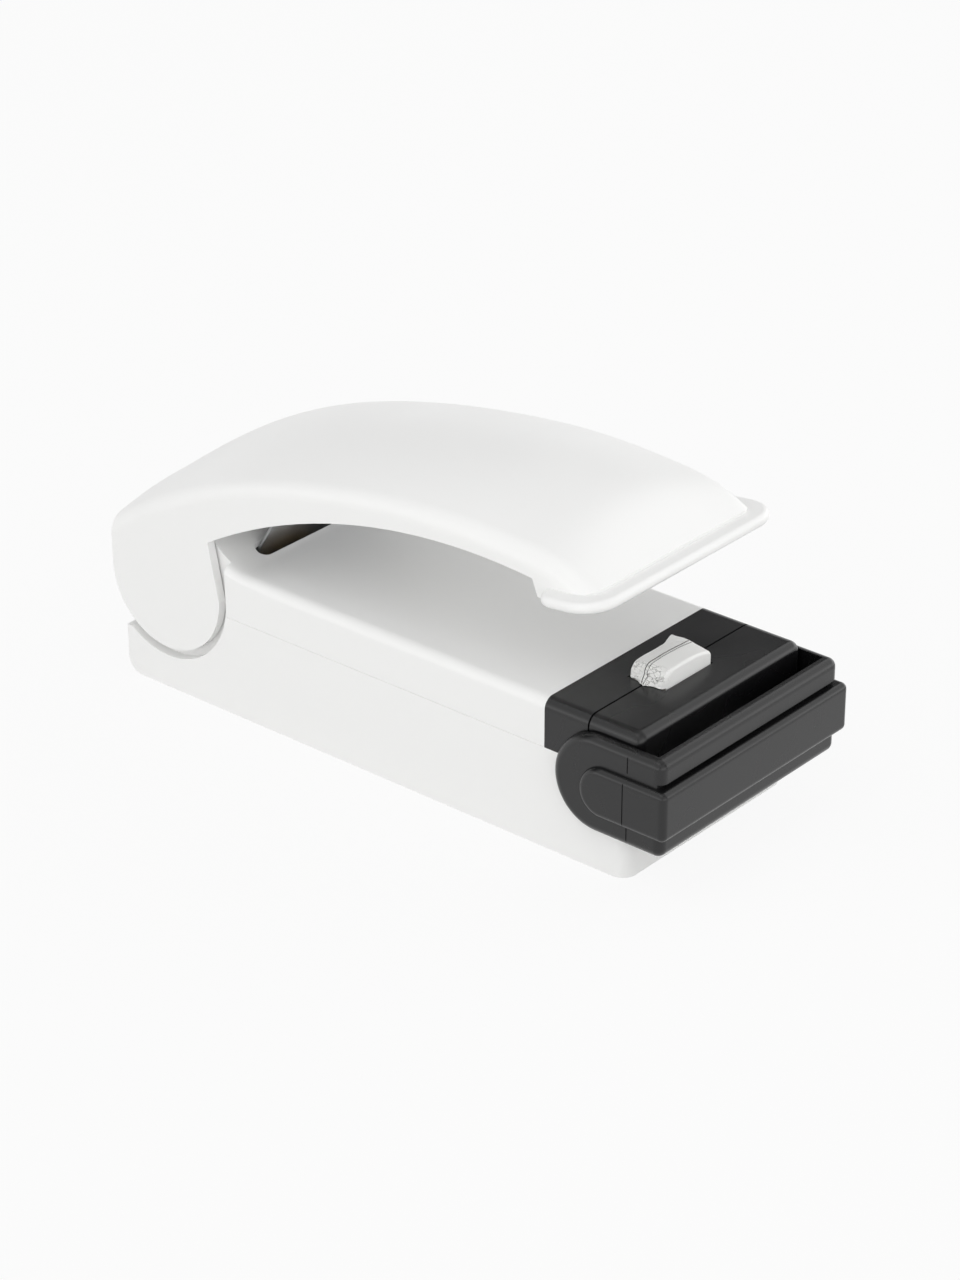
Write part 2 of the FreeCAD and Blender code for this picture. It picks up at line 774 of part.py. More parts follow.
def leaf_slot(body):
    """Long slot with round ends, cut straight down through the sweep."""
    slot_x = pivot_x + size("slot_reach")
    half = size("slot_length") * HALF
    radius = size("slot_width") * HALF
    sketch = new_sketch(body, ON_XY, pivot_z)
    trace(
        sketch,
        (slot_x + radius, -(half - radius)),
        [
            (slot_x + radius, half - radius),
            ((slot_x, half), (slot_x - radius, half - radius)),
            (slot_x - radius, -(half - radius)),
            ((slot_x, -half), (slot_x + radius, -(half - radius))),
        ],
    )
    pocket(body, sketch, dim(above) - pivot_z)


def cover_screw_post(body, x, way):
    """Post under a roof for a case screw, with its pilot hole."""
    sketch = new_sketch(body, ON_XY, parting)
    ring(sketch, x, case_screw_y * way, size("boss_outer_radius"))
    pad(body, sketch, case_height - wall * HALF - parting)
    pilot = new_sketch(body, ON_XY, parting)
    ring(pilot, x, case_screw_y * way, size("screw_radius") + size("screw_play"))
    pocket(body, pilot, case_height - wall - parting)


def battery_door():
    """Sliding door in the underside, with side tongues and finger grooves."""
    body = new_body("battery_door")
    heel = size("heel_round")
    thick = size("door_thickness")
    half = size("door_half_width") + size("tongue_width")
    heel_top = case_rear + heel - leg(heel, heel - thick)
    heel_middle = case_rear + heel - leg(heel, heel - thick * HALF)
    side = new_sketch(body, ON_XZ)
    trace(
        side,
        (door_front, dim(0)),
        [
            (door_front, thick),
            (heel_top, thick),
            ((heel_middle, thick * HALF), (case_rear + heel, dim(0))),
            (door_front, dim(0)),
        ],
    )
    pad(body, side, half * 2, BOTH)
    for way in (1, -1):
        sketch = new_sketch(body, ON_XY)
        edge = size("door_half_width") * way
        trace(sketch, *box_steps(case_rear - 1, door_front + 1, edge, edge + size("tongue_width") * 2 * way))
        pocket(body, sketch, size("tongue_height"))
    pitch = size("grip_pitch")
    reach = size("door_half_width") * HALF
    for number in range(int((size("grip_length") / pitch).value)):
        x = case_rear + heel + size("grip_setback") + pitch * number
        sketch = new_sketch(body, ON_XY)
        trace(sketch, *box_steps(x, x + pitch * HALF, -reach, reach))
        pocket(body, sketch, size("grip_depth"))
    return body


# ---------------------------------------------------------------- head covers


def arch_steps(half, low, high, radius):
    """Start point and steps of an upright rectangle with round top corners, across the case."""
    bulge = radius * (1 - COS_45)
    return (-half, low), [
        (half, low),
        (half, high - radius),
        ((half - bulge, high - bulge), (half - radius, high)),
        (-half + radius, high),
        ((-half + bulge, high - bulge), (-half, high - radius)),
        (-half, low),
    ]


def heater_window(body, x0, x1):
    """Opening in a cover for the wrapped block."""
    gap = size("heater_gap")
    sketch = new_sketch(body, ON_XY, parting)
    trace(sketch, *box_steps(x0, x1, -size("heater_near") - gap, size("heater_far") + gap))
    pocket(body, sketch, case_height)


def head_cover_rear():
    """Black cover next to the white lid."""
    body = new_body("head_cover_rear")
    outer = new_sketch(body, ON_YZ, head_rear)
    trace(outer, *arch_steps(case_half_width, parting, case_height, size("top_round")))
    pad(body, outer, slit_x - size("slit_width") - head_rear)
    inner = new_sketch(body, ON_YZ, head_rear)
    trace(inner, *box_steps(-inner_half_width, inner_half_width, parting, case_height - wall))
    pocket(body, inner, size("rear_cover_length"))
    heater_window(body, slit_x - size("heater_width") * HALF - size("heater_gap"), slit_x + wall)
    return body


def head_cover_front():
    """Black cover over the front end, with a skirt in front of the case."""
    body = new_body("head_cover_front")
    outer = new_sketch(body, ON_YZ, slit_x)
    trace(outer, *arch_steps(case_half_width, parting, case_height, size("top_round")))
    pad(body, outer, skirt_front - slit_x)
    skirt = new_sketch(body, ON_XZ)
    trace(skirt, *box_steps(case_front, skirt_front, size("skirt_bottom"), parting))
    pad(body, skirt, case_half_width * 2, BOTH)
    round_edges(
        body,
        size("skirt_round"),
        lambda e: lies_at(e, "x", skirt_front) and spans(e, "z")[1] > parting.value + 1 and is_straight(e),
    )
    inner = new_sketch(body, ON_XY, parting)
    trace(inner, *box_steps(slit_x - 1, case_front, -inner_half_width, inner_half_width))
    pocket(body, inner, case_height - wall - parting)
    heater_window(body, slit_x - wall, slit_x + size("heater_width") * HALF + size("heater_gap"))
    for way in (1, -1):
        cover_screw_post(body, case_screw_rows[0], way)
    return body


def is_straight(edge):
    return edge.Curve.TypeId == "Part::GeomLine"


# ---------------------------------------------------------------- handle


def crowned_body(label, inset):
    """The handle's lofted form, or with an inset the hollow inside it."""
    body = new_body(label)
    rear = pivot_x - cheek_radius + inset
    front = nose_front - inset
    inset_side = size("cheek_thickness") * (1 if inset.value > 0 else 0)
    sections = []
    for share, height_share, sag_share in CROWN:
        x = rear + (front - rear) * share
        half = case_half_width - inset_side
        top = size("crown_height") * height_share - inset
        sections.append(crown_section(body, x, half, top, size("crown_sag") * sag_share, inset))
    loft = body.newObject("PartDesign::AdditiveLoft", label + "_loft")
    loft.Profile = sections[0]
    loft.Sections = sections[1:]
    radius = size("nose_round") - inset
    for way in (1, -1):
        round_nose_corner(body, front, case_half_width - inset_side, radius, way)
    return body


def crown_section(body, x, half, top, sag, inset):
    """Upright sides, round shoulders and a crowned top, as one closed outline across the handle."""
    shoulder = size("crown_edge_round") - inset * HALF
    crown = (half * half + sag * sag) / (sag * 2)
    centre_z = top - crown
    reach = half - shoulder
    shoulder_z = centre_z + leg(crown - shoulder, reach)
    shoulder_y = reach * crown / (crown - shoulder)
    meet_z = centre_z + leg(crown, shoulder_y)
    bulge_y = reach + shoulder * COS_45
    bulge_z = shoulder_z + leg(shoulder, shoulder * COS_45)
    sketch = new_sketch(body, ON_YZ, x)
    base = dim(below)
    trace(
        sketch,
        (-half, base),
        [
            (half, base),
            (half, shoulder_z),
            ((bulge_y, bulge_z), (shoulder_y, meet_z)),
            ((dim(0), top), (-shoulder_y, meet_z)),
            ((-bulge_y, bulge_z), (-half, shoulder_z)),
            (-half, base),
        ],
    )
    return sketch


def round_nose_corner(body, front, half, radius, way):
    """Cuts one upright front corner to a round plan."""
    sketch = new_sketch(body, ON_XY, below)
    outside = half + 2
    bulge = radius * (1 - COS_45)
    trace(
        sketch,
        (front - radius, half * way),
        [
            ((front - bulge, (half - bulge) * way), (front, (half - radius) * way)),
            (front + 2, (half - radius) * way),
            (front + 2, outside * way),
            (front - radius, outside * way),
            (front - radius, half * way),
        ],
    )
    pocket(body, sketch, above - below)


def arch_point(x):
    """A point of the arched lower edge."""
    radius = size("arch_radius")
    middle = pivot_x + size("arch_reach")
    return x, size("crown_height") - size("arch_drop") - radius + leg(radius, middle - x)


def lip_point(x, lift=0):
    """A point of the lip's underside, or of its top."""
    tilt = size("lip_tilt")
    return x, lip_height + lift - (lip_front - x) * tilt.sine() / tilt.cosine()


def trim_handle_below(body):
    """Cuts the form to the round cheeks and the arched lower edge of the side walls."""
    knee = pivot_x + cheek_radius
    corner = arch_point(knee - size("cheek_back_lean"))
    arch_middle = arch_point(pivot_x + size("arch_reach") * HALF)
    arch_end = lip_rear - size("lip_lead")
    sketch = new_sketch(body, ON_XZ)
    trace(
        sketch,
        (pivot_x - cheek_radius, pivot_z),
        [
            (on_circle(cheek_radius, 270), (knee, pivot_z)),
            corner,
            (arch_middle, arch_point(arch_end)),
            lip_point(arch_end + size("lip_step")),
            lip_point(case_front),
            (case_front, dim(below * 2)),
            (case_rear - cheek_radius, dim(below * 2)),
            (case_rear - cheek_radius, pivot_z),
            (pivot_x - cheek_radius, pivot_z),
        ],
    )
    pocket(body, sketch, case_half_width * 4, BOTH)


def add_lip(body):
    """Thin round-edged lip round the handle's front end, tilted with the handle."""
    thick = size("lip_thickness")
    half = case_half_width + size("lip_side")
    corner = size("lip_corner")
    blend = size("lip_side")
    sketch = new_sketch(body, ON_XZ)
    trace(
        sketch,
        lip_point(lip_rear),
        [lip_point(lip_front), lip_point(lip_front, thick), lip_point(lip_rear, thick), lip_point(lip_rear)],
    )
    pad(body, sketch, half * 2, BOTH)
    for way in (1, -1):
        outside = new_sketch(body, ON_XY, below)
        bulge = corner * (1 - COS_45)
        blend_bulge = blend * (1 - COS_45)
        trace(
            outside,
            (lip_rear, (half - blend) * way),
            [
                ((lip_rear + blend_bulge, (half - blend_bulge) * way), (lip_rear + blend, half * way)),
                (lip_front - corner, half * way),
                ((lip_front - bulge, (half - bulge) * way), (lip_front, (half - corner) * way)),
                (lip_front + 1, (half - corner) * way),
                (lip_front + 1, (half + 1) * way),
                (lip_rear, (half + 1) * way),
                (lip_rear, (half - blend) * way),
            ],
        )
        pocket(body, outside, above - below)
    round_edges(body, size("lip_round"), is_lip_edge)


def is_lip_edge(edge):
    """True for the outer edges of the lip, above and below."""
    middle = edge.valueAt((edge.FirstParameter + edge.LastParameter) * HALF)
    at_side = abs(middle.y) > case_half_width.value + 0.2
    at_front = middle.x > nose_front.value + 0.2
    start, end = (vertex.Point for vertex in (edge.Vertexes[0], edge.Vertexes[-1]))
    is_upright = abs(start.x - end.x) + abs(start.y - end.y) < 0.2
    return middle.x > lip_rear.value and (at_side or at_front) and not is_upright


def ceiling_point(station, y):
    """A point of the handle's ceiling at one of the crown's stations."""
    share, height_share, sag_share = station
    inset = size("handle_wall")
    rear = pivot_x - cheek_radius + inset
    across = y / (case_half_width - size("cheek_thickness"))
    fall = size("crown_sag") * sag_share * across * across
    return rear + (nose_front - inset - rear) * share, size("crown_height") * height_share - inset - fall


def ceiling_chords(y):
    """The ceiling as straight pieces between the stations: start, end and slope of each."""
    points = [ceiling_point(station, y) for station in CROWN]
    return [(a[0], a[1], b[0], (b[1] - a[1]) / (b[0] - a[0])) for a, b in zip(points, points[1:])]


def ceiling(x, y):
    """Height of the handle's ceiling, open, just below the true curve."""
    for start_x, start_z, end_x, slope in ceiling_chords(y):
        if x.value <= end_x.value:
            break
    return start_z + (x - start_x) * slope


def handle_shell():
    """White arched handle: crowned shell with round cheeks, skirt, bosses and lip."""
    core = crowned_body("handle_core", size("handle_wall"))
    parts.remove(core)
    trim_core(core)
    body = crowned_body("handle_shell", dim(0))
    trim_handle_below(body)
    add_lip(body)
    doc.recompute()
    hollow = body.newObject("PartDesign::Boolean", "handle_shell_hollow")
    hollow.Type = "Cut"
    hollow.setObjects([core])
    cheek_bosses(body)
    return body


def trim_core(core):
    """Keeps the hollow inside the skirt, which follows the knuckle down to the ledge."""
    far = case_rear - cheek_radius
    inner = skirt_inner_radius
    tip = on_circle(inner, SKIRT_TIP)
    past = on_circle(cheek_radius + 1, SKIRT_TIP)
    sketch = new_sketch(core, ON_XZ)
    trace(
        sketch,
        (far, pivot_z),
        [
            (pivot_x - inner, pivot_z),
            (on_circle(inner, (180 + SKIRT_TIP) * HALF), tip),
            past,
            (past[0], dim(below * 2)),
            (far, dim(below * 2)),
            (far, pivot_z),
        ],
    )
    pocket(core, sketch, case_half_width * 4, BOTH)


def cheek_bosses(body):
    """Round bosses inside the cheeks, with blind bores for the axle's ends."""
    inside = case_half_width - size("cheek_thickness")
    for way in (1, -1):
        sketch = new_sketch(body, ON_XZ, -way * inside)
        ring(sketch, pivot_x, pivot_z, size("boss_radius"))
        length = inside - bay_half_width + boss_reach()
        pad(body, sketch, length, -way)
        face = bay_half_width - boss_reach()
        bore = new_sketch(body, ON_XZ, -way * face)
        ring(bore, pivot_x, pivot_z, size("axle_radius") + size("axle_play"))
        pocket(body, bore, axle_end() - face + size("axle_play"), way)


def axle_end():
    """Where each end of the axle lies, across the case."""
    return bay_half_width - boss_reach() + size("axle_seat")


def hinge_axle():
    """Steel axle through the two lugs into the cheeks."""
    body = new_body("hinge_axle")
    sketch = new_sketch(body, ON_XZ)
    ring(sketch, pivot_x, pivot_z, size("axle_radius"))
    pad(body, sketch, axle_end() * 2, BOTH)
    return body


# ---------------------------------------------------------------- latch


def latch():
    """Black U-shaped latch: C-shaped frame, raised grip band, and bores for its pins."""
    body = new_body("latch")
    reach = size("latch_reach")
    outer = arm_inner + size("arm_thickness")
    front = case_front + reach - size("band_step")
    low = size("frame_bottom")
    high = low + size("frame_height")
    frame = new_sketch(body, ON_XZ)
    trace(frame, *lobe_steps(front - size("frame_length"), front, low, high))
    pad(body, frame, outer * 2, BOTH)
    soften(body, outer, front, size("latch_round"))
    band_low = size("band_bottom")
    band_high = band_low + size("band_height")
    band_front = case_front + reach
    band_outer = outer + size("band_proud")
    band = new_sketch(body, ON_XZ)
    trace(band, *lobe_steps(band_front - size("band_length"), band_front, band_low, band_high))
    pad(body, band, band_outer * 2, BOTH)
    soften(body, band_outer, band_front, size("band_round"))
    inner = new_sketch(body, ON_XY, below)
    inner_front = front - size("bar_thickness")
    trace(inner, *box_steps(case_rear, inner_front, -arm_inner, arm_inner))
    pocket(body, inner, above - below)
    latch_groove(body, band_high, front, outer)
    for way in (1, -1):
        bore = new_sketch(body, ON_XZ, -way * arm_inner)
        ring(bore, latch_axis_x, latch_axis_z, size("axle_radius") + size("axle_play"))
        pocket(body, bore, size("pin_seat"), way)
        witness_line(body, band_low, band_high, band_outer, way)
        witness_line(body, low, band_low, outer, way)
        witness_line(body, band_high + size("groove_height"), high, outer, way)
    return body


def witness_line(body, low, high, outer, way):
    """Fine upright line that the mould leaves on a side face."""
    x = case_front + size("latch_reach") - size("band_step") - size("latch_line")
    sketch = new_sketch(body, ON_XY, low)
    edge = (outer - size("line_depth")) * way
    trace(sketch, *box_steps(x, x + size("line_width"), edge, outer * 2 * way))
    pocket(body, sketch, high - low)


def lobe_steps(rear, front, low, high):
    """Start point and steps of a plate with one round end, at the rear."""
    radius = (high - low) * HALF
    return (front, low), [
        (front, high),
        (rear + radius, high),
        ((rear, low + radius), (rear + radius, low)),
        (front, low),
    ]


def soften(body, outer, front, radius):
    """Rounds the edges of the two side faces and of the front face."""

    def is_outer(edge):
        on_side = lies_at(edge, "y", outer) or lies_at(edge, "y", -outer)
        return on_side or lies_at(edge, "x", front)

    round_edges(body, radius, is_outer)


def latch_groove(body, band_high, front, outer):
    """Narrow groove between the upper bar and the band, across the front and along the arms."""
    depth = size("groove_depth")
    sketch = new_sketch(body, ON_XY, band_high)
    far = front + size("band_step") * 2
    trace(sketch, *box_steps(front - depth, far, -outer * 2, outer * 2))
    pocket(body, sketch, size("groove_height"))


def latch_pin(way):
    """Headed steel pin, held by its head inside the case's side wall."""
    body = new_body("latch_pin_left" if way > 0 else "latch_pin_right")
    inside = inner_half_width - size("pin_head_thickness")
    head = new_sketch(body, ON_XZ, -way * inside)
    ring(head, latch_axis_x, latch_axis_z, size("pin_head_radius"))
    pad(body, head, size("pin_head_thickness"), way)
    shank = new_sketch(body, ON_XZ, -way * inside)
    ring(shank, latch_axis_x, latch_axis_z, size("axle_radius"))
    length = arm_inner + size("pin_seat") - size("axle_play") - inside
    pad(body, shank, length, way)
    return body


# ---------------------------------------------------------------- heater


def block_box(body, half_x, half_y, low, high):
    """An upright box centred on the slit."""
    sketch = new_sketch(body, ON_XY, low)
    trace(sketch, *box_steps(slit_x - half_x, slit_x + half_x, -half_y, half_y))
    pad(body, sketch, high - low)


carrier_top = size("carrier_height") + size("carrier_thickness")
heater_top = case_height + size("heater_proud")
pad_bottom = heater_top + size("pad_gap")
pad_top = pad_bottom + size("pad_thickness")


def block_profile(body, x, inset):
    """The wrapped block's outline across the head, or one inside it by an inset."""
    near = size("heater_near") - inset
    far = size("heater_far") - inset
    top = heater_top - inset
    shoulder = size("heater_shoulder")
    bulge = shoulder * (1 - COS_45)
    drop = size("heater_drop")
    slope = drop * HALF * HALF
    sketch = new_sketch(body, ON_YZ, x)
    trace(
        sketch,
        (-near, carrier_top),
        [
            (-near, top - shoulder),
            ((-near + bulge, top - bulge), (-near + shoulder, top)),
            (((far - near + shoulder) * HALF, top - slope), (far, top - drop)),
            (far, carrier_top),
            (-near, carrier_top),
        ],
    )
    return sketch


def heater_carrier():
    """Phenolic plate on the two posts."""
    body = new_body("heater_carrier")
    half_x = size("carrier_length") * HALF
    block_box(body, half_x, carrier_end, size("carrier_height"), carrier_top)
    for way in (1, -1):
        sketch = new_sketch(body, ON_XY, size("carrier_height"))
        ring(sketch, slit_x, post_y * way, size("screw_radius") + size("screw_play"))
        pocket(body, sketch, size("carrier_thickness"))
    return body


def heater_block():
    """Insulating block that carries the heating wires."""
    body = new_body("heater_block")
    half = size("heater_width") * HALF - size("cloth_thickness")
    sketch = block_profile(body, slit_x - half, size("cloth_thickness") + size("wire_thickness"))
    pad(body, sketch, half * 2)
    return body


def heating_wires():
    """Two flat wires over the block and down both its ends, joined by a short tie."""
    body = new_body("heating_wires")
    cloth = size("cloth_thickness")
    wide = size("wire_width")
    spacing = size("wire_spacing")
    thick = size("wire_thickness")
    first = slit_x - (spacing + wide) * HALF
    pad(body, block_profile(body, first, cloth), wide)
    tie = new_sketch(body, ON_XY, carrier_top)
    end = size("heater_far") - cloth
    trace(tie, *box_steps(first + wide * HALF, first + spacing + wide * HALF, end - thick, end))
    pad(body, tie, wide * 2)
    pad(body, block_profile(body, first + spacing, cloth), wide)
    pocket(body, block_profile(body, first - wide, cloth + thick), spacing + wide * 3)
    return body


def release_cloth():
    """White glass cloth wrapped over the block and the wires."""
    body = new_body("release_cloth")
    half = size("heater_width") * HALF
    cloth = size("cloth_thickness")
    pad(body, block_profile(body, slit_x - half, dim(0)), half * 2)
    round_edges(body, size("heater_round"), is_block_edge)
    pocket(body, block_profile(body, slit_x - half + cloth, cloth), (half - cloth) * 2)
    return body


def is_block_edge(edge):
    """True for the long edges of the block's two faces, except at its foot."""
    half = size("heater_width") * HALF
    on_face = lies_at(edge, "x", slit_x - half) or lies_at(edge, "x", slit_x + half)
    return on_face and spans(edge, "z")[1] > carrier_top.value + 1


# ---------------------------------------------------------------- cells and contacts


def aa_cell(label, way):
    """A cell turned about its own axis. The left one's nub points to the front."""
    body = new_body(label)
    shoulder = cell_front - size("nub_length")
    base = cell_rear
    if way < 0:
        shoulder = cell_rear + size("nub_length")
        base = cell_front
    nub_end = cell_front if way > 0 else cell_rear
    can = new_sketch(body, ON_YZ, base)
    ring(can, cell_y * way, cell_z, size("cell_radius"))
    pad(body, can, size("cell_length") - size("nub_length"), way)
    nub = new_sketch(body, ON_YZ, nub_end)
    ring(nub, cell_y * way, cell_z, size("nub_radius"))
    pad(body, nub, size("nub_length"), -way)
    round_edges(body, size("cell_gap"), lambda e: e.BoundBox.DiagonalLength > size("cell_radius").value * 2
                and (lies_at(e, "x", shoulder) or lies_at(e, "x", base)))
    return body


def contact_plate(label, x, y, width):
    """Sheet contact against an end of the bay."""
    body = new_body(label)
    low = size("door_thickness") + size("cell_gap")
    high = cell_z + size("contact_width") * HALF
    sketch = new_sketch(body, ON_YZ, x)
    trace(sketch, *box_steps(y - width * HALF, y + width * HALF, low, high))
    pad(body, sketch, size("contact_thickness"))
    return body


def dimpled_contact(label, x, y, width, dimple_y, towards):
    """Sheet contact with a raised pip that meets a cell's nub."""
    body = contact_plate(label, x, y, width)
    face = x + size("contact_thickness") if towards > 0 else x
    room = size("spring_room") - size("contact_thickness")
    sketch = new_sketch(body, ON_YZ, face)
    ring(sketch, dimple_y, cell_z, size("nub_radius"))
    pad(body, sketch, room, towards)
    return body


def cell_spring(label, x, y, towards):
    """Coil spring between a contact and a cell's flat end."""
    body = new_body(label)
    wire = size("spring_wire")
    room = size("spring_room") - size("contact_thickness")
    sketch = new_sketch(body, ON_XZ, -y)
    start = x + wire * towards
    ring(sketch, start, cell_z + size("spring_radius"), wire)
    coil = body.newObject("PartDesign::AdditiveHelix", label + "_coil")
    coil.Profile = sketch
    axis = new_sketch(body, ON_XZ, -y)
    trace(axis, (start, cell_z), [(start + towards, cell_z)], closed=False)
    coil.ReferenceAxis = (axis, ["Edge1"])
    coil.Mode = "height-turns-angle"
    coil.Height = (room - wire * 2).value
    bind(coil, "Height", room - wire * 2)
    coil.Turns = 2
    coil.Angle = 0
    return body


def bay_cover():
    """Thin plate over the cells, clamped at the joint line."""
    body = new_body("bay_cover")
    half = bay_half_width + size("cover_ledge") - size("cell_gap") * HALF
    play = size("cell_gap") * HALF
    sketch = new_sketch(body, ON_XY, cover_bottom)
    trace(sketch, *box_steps(bay_rear + play, bay_front - play, -half, half))
    pad(body, sketch, size("cover_thickness"))
    notch_front = pivot_x + size("boss_radius") + size("boss_play")
    notch_side = bay_half_width - boss_reach() - size("boss_play") - wall - play
    for way in (1, -1):
        notch = new_sketch(body, ON_XY, cover_bottom)
        trace(notch, *box_steps(bay_rear, notch_front, notch_side * way, case_half_width * way))
        pocket(body, notch, size("cover_thickness"))
        hole = new_sketch(body, ON_XY, cover_bottom)
        ring(hole, clamp_x(), size("clamp_screw_spacing") * HALF * way, size("screw_radius"))
        pocket(body, hole, size("cover_thickness"))
    return body


# ---------------------------------------------------------------- leaf spring


def leaf_line(z):
    """Where the leaf's straight part lies at a height."""
    angle = size("leaf_angle")
    slot_z = sweep_height(size("sweep_reach") - size("slot_reach"))
    return pivot_x + size("slot_reach") + (dim(z) - slot_z) * angle.cosine() / angle.sine()


def leaf_top():
    """Height of the leaf's curled end, where its corners meet the handle's ceiling."""
    angle = size("leaf_angle")
    curl = size("leaf_curl")
    lean = angle.cosine() / angle.sine()
    start = leaf_line(curl * (angle.cosine() - 1)) + curl * angle.sine()
    for start_x, start_z, end_x, slope in ceiling_chords(size("leaf_width") * HALF):
        top = (start_z - size("leaf_play") + slope * (start - start_x)) / (1 - slope * lean)
        if start.value + lean.value * top.value <= end_x.value:
            break
    return derived("leaf_top", top, "top of the leaf's curled end")


def foot_rear():
    return leaf_line(parting) - size("leaf_foot")


def clamp_x():
    return foot_rear() + size("leaf_foot") * HALF - size("screw_radius") * HALF


CURL_MIDDLE = -20
CURL_END = 60


def leaf_spring():
    """Bright spring: a foot under the clamp bar, a straight leaf through the slot and a curled end."""
    body = new_body("leaf_spring")
    thick = size("leaf_thickness")
    angle = size("leaf_angle")
    curl = size("leaf_curl")
    top = leaf_top()
    bend_z = top - curl + curl * angle.cosine()
    across = thick * angle.sine()
    lower_x = leaf_line(parting)
    upper_x = leaf_line(bend_z)
    curl_x = upper_x + curl * angle.sine()
    curl_z = top - curl

    def on_curl(radius, degrees):
        turn = math.radians(degrees)
        return curl_x + radius * math.sin(turn), curl_z + radius * math.cos(turn)

    sketch = new_sketch(body, ON_XZ)
    trace(
        sketch,
        (foot_rear(), parting),
        [
            (lower_x + thick * (1 + angle.cosine()) / angle.sine(), parting),
            (upper_x + across, bend_z - thick * angle.cosine()),
            (on_curl(curl - thick, CURL_MIDDLE), on_curl(curl - thick, CURL_END)),
            on_curl(curl, CURL_END),
            (on_curl(curl, CURL_MIDDLE), (upper_x, bend_z)),
            (lower_x + thick * angle.cosine() / angle.sine(), parting + thick),
            (foot_rear(), parting + thick),
            (foot_rear(), parting),
        ],
    )
    pad(body, sketch, size("leaf_width"), BOTH)
    for way in (1, -1):
        hole = new_sketch(body, ON_XY, parting)
        ring(hole, clamp_x(), size("clamp_screw_spacing") * HALF * way, size("screw_radius"))
        pocket(body, hole, thick)
    return body


def spring_clamp():
    """Bar that holds the leaf's foot down on the bay cover."""
    body = new_body("spring_clamp")
    low = parting + size("leaf_thickness")
    half_y = size("clamp_screw_spacing") * HALF + size("screw_head_radius") + size("clamp_thickness")
    reach = size("screw_head_radius") + size("screw_play")
    sketch = new_sketch(body, ON_XY, low)
    trace(sketch, *box_steps(clamp_x() - reach, clamp_x() + reach, -half_y, half_y))
    pad(body, sketch, size("clamp_thickness"))
    for way in (1, -1):
        hole = new_sketch(body, ON_XY, low)
        ring(hole, clamp_x(), size("clamp_screw_spacing") * HALF * way, size("screw_radius"))
        pocket(body, hole, size("clamp_thickness"))
    return body


def screw(label, x, y, seat, length, shank_way):
    """A small screw with a pan head. Its shank runs up or down from its seat."""
    body = new_body(label)
    head = new_sketch(body, ON_XY, seat)
    ring(head, x, y, size("screw_head_radius"))
    pad(body, head, size("screw_head_height"), -shank_way)
    shank = new_sketch(body, ON_XY, seat)
    ring(shank, x, y, size("screw_radius") - size("screw_play"))
    pad(body, shank, length, shank_way)
    return body


def switch_strip():
    """Brass strip that the leaf meets when the handle is pressed down."""
    body = new_body("switch_strip")
    thick = size("contact_thickness")
    rise = size("strip_rise")
    lean = rise * size("leaf_angle").cosine() / size("leaf_angle").sine()
    heel = leaf_line(parting) + size("strip_gap")
    sketch = new_sketch(body, ON_XZ)
    trace(
        sketch,
        (heel, parting),
        [
            (heel + size("leaf_foot"), parting),
            (heel + size("leaf_foot"), parting + thick),
            (heel + thick, parting + thick),
            (heel + thick + lean, parting + rise),
            (heel + lean, parting + rise),
            (heel, parting + thick),
            (heel, parting),
        ],
    )
    pad(body, sketch, size("contact_width"), BOTH)
    return body


# ---------------------------------------------------------------- press pad


def closing():
    """Cosine and sine of the handle's travel, which brings its lip down over the wrapped block."""
    reach = lip_front - pivot_x
    rise = lip_height - pivot_z
    closed_rise = heater_top + size("lip_gap") - pivot_z
    arm = reach * reach + rise * rise
    closed_reach = (arm - closed_rise * closed_rise).root()
    cosine = (reach * closed_reach + rise * closed_rise) / arm
    sine = (rise * closed_reach - reach * closed_rise) / arm
    return derived("close_cosine", cosine, "handle's travel"), derived("close_sine", sine, "handle's travel")


close_cosine, close_sine = closing()
nose_inside = nose_front - size("handle_wall") - size("pad_front_gap")


def as_closed(x, z):
    """Where a point of the open handle lies when the handle is closed."""
    reach = x - pivot_x
    rise = z - pivot_z
    closed_x = pivot_x + reach * close_cosine + rise * close_sine
    return closed_x, pivot_z - reach * close_sine + rise * close_cosine


def upright_as_closed(x, z):
    """Where an upright line of the open handle crosses a height when the handle is closed."""
    reach = x - pivot_x
    rise = (z - pivot_z + reach * close_sine) / close_cosine
    return pivot_x + reach * close_cosine + rise * close_sine


def turn_open(body):
    """Pieces under the handle's nose are drawn closed, level with the head, and turned open."""
    centre = Vector(pivot_x.value, 0, pivot_z.value)
    travel = math.degrees(math.atan2(close_sine.value, close_cosine.value))
    turn = FreeCAD.Rotation(Vector(0, 1, 0), -travel)
    body.Placement = FreeCAD.Placement(Vector(0, 0, 0), turn, centre)


def press_pad():
    """Silicone strip that meets the wrapped block."""
    body = new_body("press_pad")
    front = upright_as_closed(nose_inside, pad_bottom)
    half = size("pad_length") * HALF
    sketch = new_sketch(body, ON_XY, pad_bottom)
    trace(sketch, *box_steps(front - size("pad_width"), front, -half, half))
    pad(body, sketch, size("pad_thickness"))
    turn_open(body)
    return body


def pad_carrier():
    """Holder inside the nose, between the pad and the handle's ceiling."""
    body = new_body("pad_carrier")
    half = size("pad_length") * HALF + size("pad_margin")
    rear = nose_inside - size("pad_width") - size("pad_margin")
    top = []
    for share in (0, HALF * HALF, 1):
        x = nose_inside + (rear - nose_inside) * share
        top.append(as_closed(x, ceiling(x, half) - size("holder_play")))
    low_rear = (upright_as_closed(rear, pad_top), pad_top)
    low_front = (upright_as_closed(nose_inside, pad_top), pad_top)
    sketch = new_sketch(body, ON_XZ)
    trace(sketch, low_rear, [low_front, *top, low_rear])
    pad(body, sketch, half * 2, BOTH)
    turn_open(body)
    return body


# ---------------------------------------------------------------- leads


BEND_SHARE = 0.45


